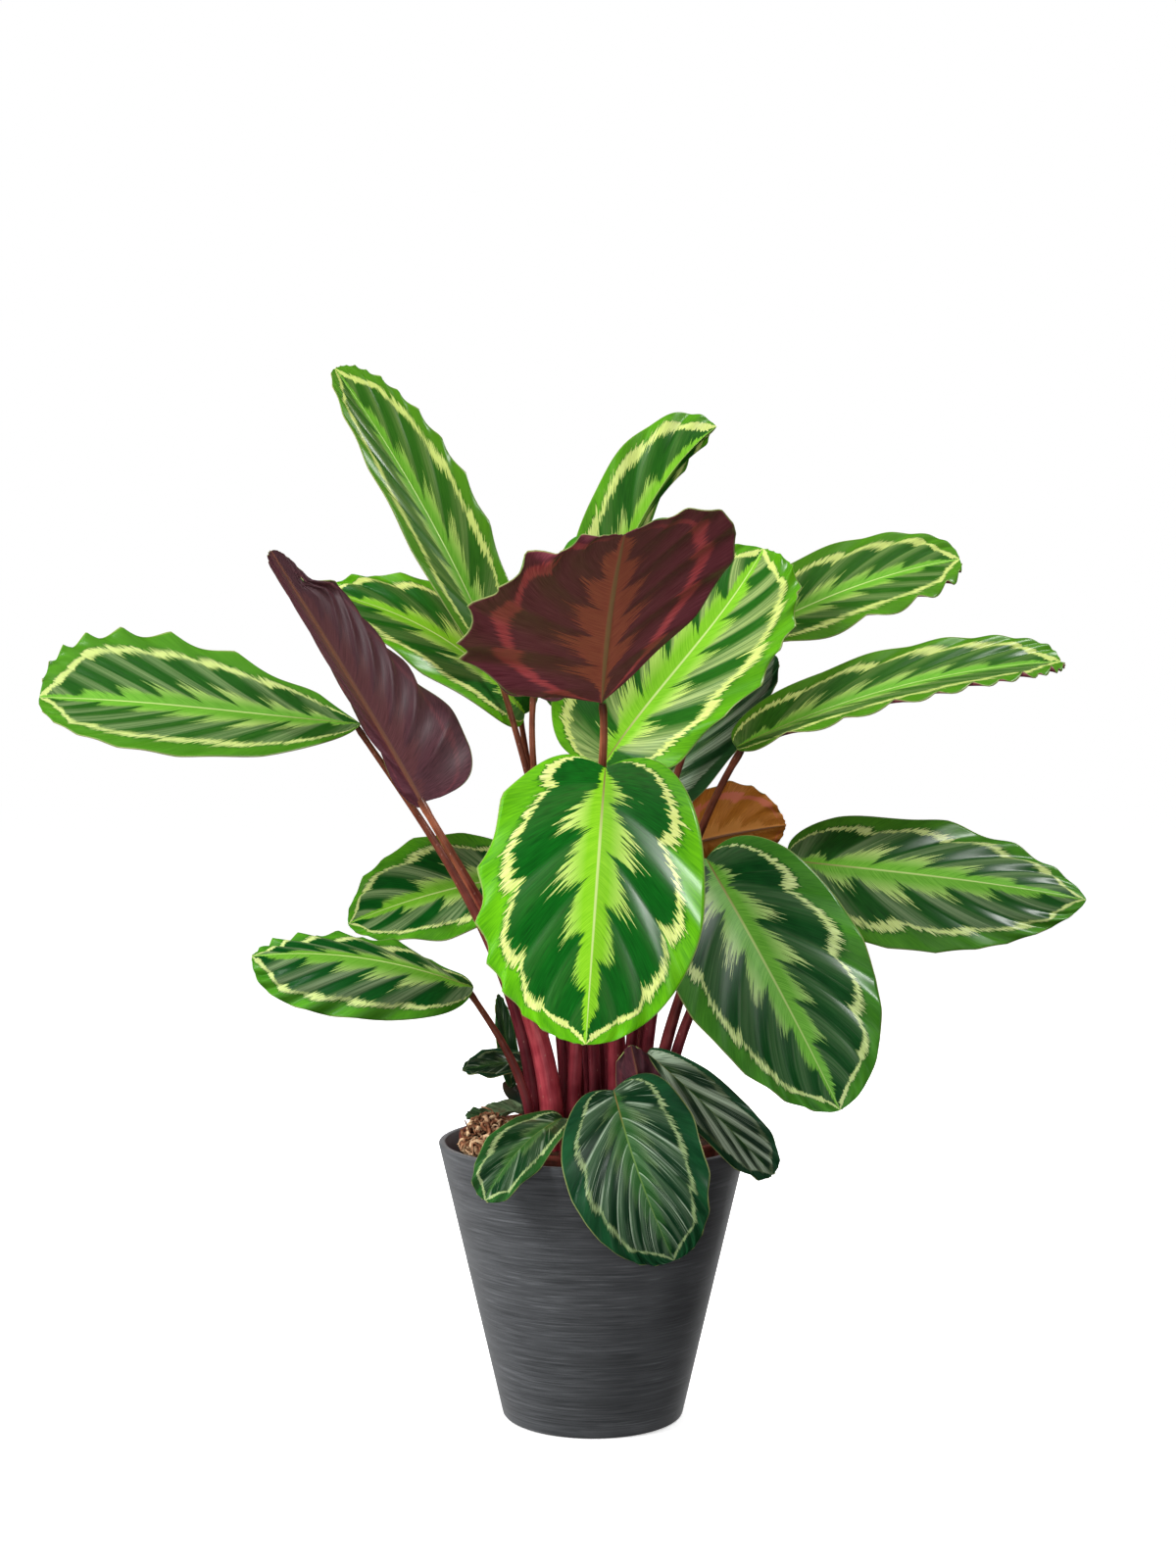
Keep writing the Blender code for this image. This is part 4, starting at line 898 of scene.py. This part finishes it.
    # midrib, and the thin pale edge
    rib_width = add("MapRange", [along, 0.0, 1.0, 0.016, 0.006])
    past_rib = add("Math", [across, rib_width], "SUBTRACT")
    past_rib = add("MapRange", [past_rib, -0.004, 0.004, 0.0, 1.0])
    rib_tone = add("MapRange", [along, 0.02, 0.3, 0.0, 1.0])
    young = add("MapRange", [youth, 0.1, 0.5, 0.0, 1.0])
    rib = painted(add, "#557438", (young, "#b9d07c"))
    rib = painted(add, "#7a5a34", (rib_tone, rib))
    below_width = add("Math", [rib_width, 1.7], "MULTIPLY")
    past_below = add("Math", [across, below_width], "SUBTRACT")
    past_below = add("MapRange", [past_below, -0.006, 0.006, 0.0, 1.0])
    rib_below = painted(add, "#a67a58", (plum, "#5e382c"))
    edge = (add("MapRange", [across, 0.985, 0.997, 0.0, 0.8]), "#8f9a5c")
    upper = painted(add, rib, (past_rib, upper), edge)
    lower = painted(add, rib_below, (past_below, lower), edge)

    colour = painted(add, upper, (side, lower))
    roughness = add("MapRange", [side, 0.0, 1.0, 0.3, 0.5])
    surface(add, colour, roughness, (fine_streaks, 0.02, 0.0004), **{"Specular IOR Level": 0.42})
    return material


LEAF_SKIN = leaf_skin()
for number, (name, leaf) in enumerate(LEAVES.items()):
    blade = new_piece("leaf_" + name, blade_mesh("leaf_" + name, leaf, number))
    blade.data.materials.append(LEAF_SKIN)
    settle(blade, "leaf", "blade_" + name)


# Stems
# Round fleshy leaf stalks that rise from the crown, each sheathed and rosy where it leaves the
# soil and thinner and browner above, with a short dark swollen joint under the blade.
STEM_STATIONS = 48
STEM_SIDES = 18
STEM_TAPER = 1.3
STEM_DEPTH_IN_SOIL = 11.5
STEM_COLLAR = 3.0
STEM_BLADE_GAP = 0.25
NODDING_STEM_GAP = 0.5
SHEATH_FROM = 0.3
SHEATH_TO = 0.62
JOINT_LENGTH = 16.0
JOINT_SWELL = 0.18


def stem_route(leaf):
    """Centre points from inside the soil to under the blade, their radii, and how far each is into
    the swollen joint."""
    root_radius, end_radius = leaf["radii"]
    centre, direction, face, _ = (value[0] for value in blade_axes(leaf, np.array([0.0])))
    if leaf["aim"]:
        heading = unit(leaf["aim"])
        agreement = float(heading @ direction)
    else:
        agreement = math.cos(math.radians(leaf["nod"]))
        heading = direction * agreement + face * math.sin(math.radians(leaf["nod"]))
    below = BLADE_THICKNESS + MIDRIB_DEPTH + STEM_BLADE_GAP + leaf["drop"]
    below += end_radius * agreement if agreement > 0 else NODDING_STEM_GAP
    end = centre + direction * leaf["inset"] - face * below

    x, y = leaf["root"]
    height = float(soil_height(x, y))
    foot = np.array([x, y, height - STEM_DEPTH_IN_SOIL])
    collar = np.array([x, y, height + STEM_COLLAR])
    span = np.linalg.norm(end - collar)
    rise, approach = leaf["pull"]
    controls = (collar, collar + np.array([0, 0, rise * span]), end - heading * approach * span, end)
    t = np.linspace(0, 1, STEM_STATIONS)
    points = np.vstack([foot, cubic(controls, t[:, None])])

    # the sheath widens the lower part and ends smoothly, and the joint swells under the blade
    radii = end_radius + (root_radius - end_radius) * (1 - t) ** STEM_TAPER
    fade = np.clip((SHEATH_TO - t) / (SHEATH_TO - SHEATH_FROM), 0, 1)
    radii = radii * (1 + (leaf["sheath"] - 1) * fade * fade * (3 - 2 * fade))
    joint = np.clip(1 - (1 - t) * span / JOINT_LENGTH, 0, 1)
    radii = radii * (1 + JOINT_SWELL * np.sin(np.pi * joint))
    return points, np.concatenate([radii[:1], radii]), np.concatenate([[0], joint])


def stalk_tree():
    """Sweep a round section along a path whose points carry their own radius."""
    tree, add, given = new_tree("round stalk", {"Sides": "Int"})
    radius = add("InputNamedAttribute", {"Name": "stalk_radius"}, data_type="FLOAT")
    path = add("MeshToCurve", {"Mesh": given["Geometry"]})
    circle = add("CurvePrimitiveCircle", {"Resolution": given["Sides"], "Radius": 1.0})
    section = add("StoreNamedAttribute", {
        "Geometry": circle, "Name": "stalk_round", "Value": add("InputPosition")},
        data_type="FLOAT_VECTOR")
    swept = add("CurveToMesh", {
        "Curve": path, "Profile Curve": section, "Scale": radius, "Fill Caps": True})
    smooth = add("SetShadeSmooth", {"Geometry": swept, "Shade Smooth": True})
    realized = add("RealizeInstances", {"Geometry": smooth})
    end_tree(add, given, realized)
    return tree


def stalk_skin():
    """Smooth fleshy stalk: fine lengthwise lines and pale pores, rosy low down, dark at its joint."""
    material, add = new_material("smooth red leaf stalk")
    height, travelled, joint, rosy, green, dark = carried(add, "stalk_place", "stalk_kind")
    section = add("Attribute", attribute_name="stalk_round")
    turned = add("VectorMath", [section, (2.2, 2.2, 0)], "MULTIPLY")
    climb = add("Math", [travelled, 0.02], "MULTIPLY")
    lines_at = add("VectorMath", [turned, add("CombineXYZ", {"Z": climb})], "ADD")
    lines = add("TexNoise", {"Vector": lines_at, "Scale": 1.8, "Detail": 3.0})
    where = add("TexCoord").outputs["Object"]
    blotches = add("TexNoise", {"Vector": where, "Scale": 70.0, "Detail": 3.0})
    pores_at = add("VectorMath", [where, (200, 200, 110)], "MULTIPLY")
    pores = add("TexVoronoi", {"Vector": pores_at, "Scale": 1.0})
    pore = add("MapRange", [pores, 0.06, 0.12, 0.55, 0.0])

    lined = add("MapRange", [lines, 0.35, 0.65, 0.0, 1.0])
    patched = add("MapRange", [blotches, 0.35, 0.65, 0.0, 1.0])
    tone = add("Math", [lined, patched], "ADD")
    tone = add("Math", [tone, 0.5], "MULTIPLY")
    wine, rose, high, leafy = (painted(add, shade, (tone, light)) for shade, light in (
        ("#3a0f18", "#6c2630"), ("#8a2230", "#c4525a"), ("#5a2c1e", "#9c5a3e"), ("#0c1f16", "#20382a")))
    rising = add("MapRange", [height, 0.3, 0.85, 0.0, 1.0])
    # painted shade: dark lays a near black coat on stems that stand back in the shade of the leaves
    shaded = add("Math", [dark, 0.7], "MULTIPLY")
    knuckle = add("Math", [joint, 0.75], "MULTIPLY")
    colour = painted(add, wine, (rosy, rose), (rising, high), (green, leafy), (shaded, "#1e0c10"),
                     (pore, "#b08474"), (knuckle, "#38221a"))
    surface(add, colour, 0.36, (lines, 0.35, 0.0006))
    return material


STALK_TREE = stalk_tree()
STALK_SKIN = stalk_skin()
for name, leaf in LEAVES.items():
    route, radii, joint = stem_route(leaf)
    steps = np.linalg.norm(np.diff(route, axis=0), axis=1)
    travelled = np.concatenate([[0], np.cumsum(steps)])
    place = np.stack([travelled / travelled[-1], travelled, joint], axis=1)
    kind = np.tile((leaf["rosy"], leaf["green"], leaf["dark"]), (len(route), 1))
    edges = [(k, k + 1) for k in range(len(route) - 1)]
    path = new_mesh("stalk_" + name, route, edges=edges, stalk_radius=radii * MM,
                    stalk_place=place, stalk_kind=kind)
    stalk = grow("stalk_" + name, path, STALK_TREE, sides=STEM_SIDES, material=STALK_SKIN)
    settle(stalk, "leaf_stem", "stem_" + name)


# Dried moss and scraps
# A clump of dead moss, brown and curly, lies on the heap of soil and hangs over the nursery
# pot's rim. Two withered bits of leaf lie over it, the longer one against a stem.
MOSS_CENTRE = (-70.0, -34.0, 194.0)
MOSS_RADII = (20.0, 22.0, 17.0)
MOSS_RINGS = 10
MOSS_FACETS = 32
MOSS_LUMP = 34.0
MOSS_CURL = 6.0
MOSS_CURLS_PER_SQUARE_METRE = 180000.0

SCRAPS = {
    "long_scrap": dict(
        base=(-50, -12, 218), tip=(-85, -9, 213), face=(0.1, -0.75, 0.65), half_width=8,
        arch=(0.1, -0.05), curl=(70, 40), wave=(1.6, 2.2), bands=4, lobe=3, silver_and_sheen=0.8),
    "curled_scrap": dict(
        base=(-64, -20, 206), tip=(-90, -22, 216), face=(-0.2, -0.7, 0.7), half_width=8,
        arch=(0.25, 0.2), curl=(120, 150), wave=(1.6, 1.6), bands=3, lobe=2, silver_and_sheen=0.1),
}


def moss_mesh():
    """A low mound, closed below, that carries the curls of moss."""
    points, faces = [(0.0, 0.0, 1.0)], []
    for ring in range(1, MOSS_RINGS + 1):
        lean = math.pi / 2 * ring / MOSS_RINGS
        for k in range(MOSS_FACETS):
            turn = math.tau * k / MOSS_FACETS
            points.append((math.sin(lean) * math.cos(turn), math.sin(lean) * math.sin(turn), math.cos(lean)))
    for k in range(MOSS_FACETS):
        after = (k + 1) % MOSS_FACETS
        faces.append((0, 1 + k, 1 + after))
        for ring in range(MOSS_RINGS - 1):
            a, b = 1 + ring * MOSS_FACETS + k, 1 + ring * MOSS_FACETS + after
            faces.append((a, a + MOSS_FACETS, b + MOSS_FACETS, b))
    last = 1 + (MOSS_RINGS - 1) * MOSS_FACETS
    faces.append(tuple(reversed(range(last, last + MOSS_FACETS))))
    points = np.array(points) * MOSS_RADII + MOSS_CENTRE
    return new_mesh("dried_moss", points, faces=faces)


def moss_tree():
    """Lumps on a mound, and small curled ribbons scattered all over it."""
    tree, add, given = new_tree("dried moss", {
        "Lump Height": "Float", "Curl Size": "Float", "Curl Density": "Float"})
    lumps = add("TexNoise", {"Scale": 90.0, "Detail": 3.0})
    centred = add("Math", [lumps, 0.5], "SUBTRACT")
    rise = add("Math", [centred, given["Lump Height"]], "MULTIPLY")
    outwards = add("VectorMath", {0: add("InputNormal"), "Scale": rise}, "SCALE")
    lumpy = add("SetPosition", {"Geometry": given["Geometry"], "Offset": outwards})
    scattered = add("DistributePointsOnFaces", {
        "Mesh": lumpy, "Density": given["Curl Density"], "Seed": 11})
    curl = add("CurveSpiral", {
        "Resolution": 8, "Rotations": 0.8, "Start Radius": 0.35, "End Radius": 1.0, "Height": 0.8})
    section = add("CurvePrimitiveCircle", {"Resolution": 4, "Radius": 0.3})
    flat = add("Transform", {"Geometry": section, "Scale": (0.3, 1.0, 1.0)})
    ribbon = add("CurveToMesh", {"Curve": curl, "Profile Curve": flat, "Fill Caps": True})
    size = add("RandomValue", {2: 0.3, 3: 1.0, "Seed": 12}, data_type="FLOAT")
    size = add("Math", [size, given["Curl Size"]], "MULTIPLY")
    turn = add("RandomValue", {
        0: (0.0, 0.0, 0.0), 1: (math.tau, math.tau, math.tau), "Seed": 13}, data_type="FLOAT_VECTOR")
    placed = add("InstanceOnPoints", {
        "Points": scattered, "Instance": ribbon, "Rotation": turn, "Scale": size})
    tone = add("RandomValue", {2: 0.25, 3: 1.0, "Seed": 14}, data_type="FLOAT")
    toned = add("StoreNamedAttribute", {
        "Geometry": placed, "Name": "curl_tone", "Value": tone}, data_type="FLOAT", domain="INSTANCE")
    curls = add("RealizeInstances", {"Geometry": toned})
    joined = add("JoinGeometry", [curls])
    tree.links.new(lumpy.outputs[0], joined.inputs[0])
    end_tree(add, given, joined)
    return tree


def dead_moss():
    """Dried moss: each curl has its own tan or rusty tone, over nearly black brown. Quite dull."""
    material, add = new_material("dried moss")
    place = add("TexCoord").outputs["Object"]
    patches = add("TexNoise", {"Vector": place, "Scale": 320.0, "Detail": 4.0})
    tone = add("Attribute", attribute_name="curl_tone").outputs["Fac"]
    mottled = add("MapRange", [patches, 0.3, 0.7, -0.25, 0.25])
    tone = add("Math", [tone, mottled], "ADD")
    ramp = add("ValToRGB", {"Fac": tone})
    stops = ramp.color_ramp.elements
    stops.new(0.5)
    for stop, position, colour in zip(stops, (0.1, 0.5, 0.95), ("#1e1610", "#8e5c40", "#dcbc94")):
        stop.position = position
        stop.color = linear(colour)
    surface(add, ramp, 0.85, (patches, 0.4, 0.0006))
    return material


def withered_leaf():
    """Withered leaf: leathery grey green, paler along its side veins and brown in patches."""
    material, add = new_material("withered leaf")
    veins, side_place, _, _, _, silver_and_sheen = carried(add, "vein_place", "leaf_kind")
    lines = streaks(add, add("CombineXYZ", [veins, side_place, 0.0]), (12, 2, 1), 3.0)
    place = add("TexCoord").outputs["Object"]
    patches = add("TexNoise", {"Vector": place, "Scale": 110.0, "Detail": 2.0})
    tone = add("MapRange", [lines, 0.35, 0.65, 0.0, 1.0])
    browned = add("MapRange", [patches, 0.55, 0.68, 0.0, 0.8])
    dark = painted(add, "#0f2414", (tone, "#3c6234"))
    pale = painted(add, "#3f5a38", (tone, "#8aa078"))
    colour = painted(add, dark, (silver_and_sheen, pale), (browned, "#5a4630"))
    surface(add, colour, 0.55, (lines, 0.3, 0.0004))
    return material


moss = grow("dried_moss", moss_mesh(), moss_tree(), lump_height=MOSS_LUMP * MM, curl_size=MOSS_CURL * MM,
            curl_density=MOSS_CURLS_PER_SQUARE_METRE, material=dead_moss())
settle(moss, "soil")

WITHERED = withered_leaf()
for number, (name, values) in enumerate(SCRAPS.items()):
    scrap = new_piece(name, blade_mesh(name, {**LEAF_DEFAULTS, **values}, number))
    scrap.data.materials.append(WITHERED)
    settle(scrap, "leaf")


# Studio
# A plain white floor under a white backdrop, ten softboxes, and a camera that looks at the plant
# from the front, about half a degree down from level.
CAMERA_DISTANCE = 1500.0
CAMERA_PITCH = 0.6
CAMERA_AIM = (-3.5, 0.0, 449.0)
LIGHT_AIM = (0.0, 0.0, 420.0)
SENSOR_HEIGHT = 36.0
MM_PER_PIXEL = 0.7
PICTURE_HEIGHT = 1600
FLOOR_SIZE = 40000.0


def pale_floor():
    """White acrylic sheet, lit from below: evenly white, with a painted shadow close round the planter."""
    material, add = new_material("lit white acrylic floor")
    place = add("TexCoord").outputs["Object"]
    mottle = add("TexNoise", {"Vector": place, "Scale": 2.0})
    colour = painted(add, "#f2f2f2", (mottle, "#f6f6f6"))
    distance = add("VectorMath", [place], "LENGTH")
    # painted shadow: the glow drops close round the planter, a soft contact shadow painted on the floor
    lit = add("MapRange", [distance, 0.06, 0.2, 0.35, 1.0])
    surface(add, colour, 0.6, **{"Emission Color": linear("#ffffff"), "Emission Strength": lit})
    return material


edge = FLOOR_SIZE / 2
corners = [(-edge, -edge, 0), (edge, -edge, 0), (edge, edge, 0), (-edge, edge, 0)]
floor = new_piece("studio_floor", new_mesh("studio_floor", corners, faces=[(0, 1, 2, 3)]))
floor.data.materials.append(pale_floor())
floor.visible_diffuse = False
floor.visible_glossy = False

world = bpy.data.worlds.new("white studio")
world.use_nodes = True
world.node_tree.nodes["Background"].inputs["Color"].default_value = (1, 1, 1, 1)
world.node_tree.nodes["Background"].inputs["Strength"].default_value = 1.0
world.cycles_visibility.diffuse = False
world.cycles_visibility.glossy = False
bpy.context.scene.world = world
bpy.context.scene.view_settings.view_transform = "Standard"


def softbox(name, place, size, power, gloss=True):
    """A square area light at a place in millimetres, aimed at the middle of the plant."""
    light = bpy.data.lights.new(name, "AREA")
    light.size = size * MM
    light.energy = power
    made = bpy.data.objects.new(name, light)
    made.location = np.array(place) * MM
    made.visible_glossy = gloss
    forward = unit(np.subtract(LIGHT_AIM, place))
    made.rotation_euler = (math.acos(-forward[2]), 0, math.atan2(forward[1], forward[0]) - math.pi / 2)
    bpy.context.scene.collection.objects.link(made)


softbox("key_left", (-1700, -900, 1600), 1000, 50, gloss=False)
softbox("low_left", (-1500, -250, 350), 700, 13, gloss=False)
softbox("window_left", (-1300, -1000, 2100), 280, 4)
softbox("window_right", (1100, -800, 1900), 300, 18)
softbox("right_top", (1000, 900, 1900), 1100, 16, gloss=False)
softbox("left_back", (-1600, 1400, 1100), 1300, 20, gloss=False)
softbox("right_back", (1500, 1600, 900), 1300, 20, gloss=False)
softbox("front_fill", (-300, -2700, 500), 1800, 15, gloss=False)
softbox("floor_bounce", (200, -1500, 60), 1200, 11, gloss=False)
softbox("overhead", (0, -300, 2500), 1500, 13, gloss=False)

camera = bpy.data.objects.new("camera", bpy.data.cameras.new("camera"))
pitch = math.radians(CAMERA_PITCH)
away = CAMERA_DISTANCE * np.array([0.0, -math.cos(pitch), math.sin(pitch)])
camera.location = (CAMERA_AIM + away) * MM
camera.rotation_euler = (math.pi / 2 - pitch, 0, 0)
camera.data.sensor_fit = "VERTICAL"
camera.data.sensor_height = SENSOR_HEIGHT
camera.data.lens = SENSOR_HEIGHT * CAMERA_DISTANCE / MM_PER_PIXEL / PICTURE_HEIGHT
bpy.context.scene.collection.objects.link(camera)
bpy.context.scene.camera = camera
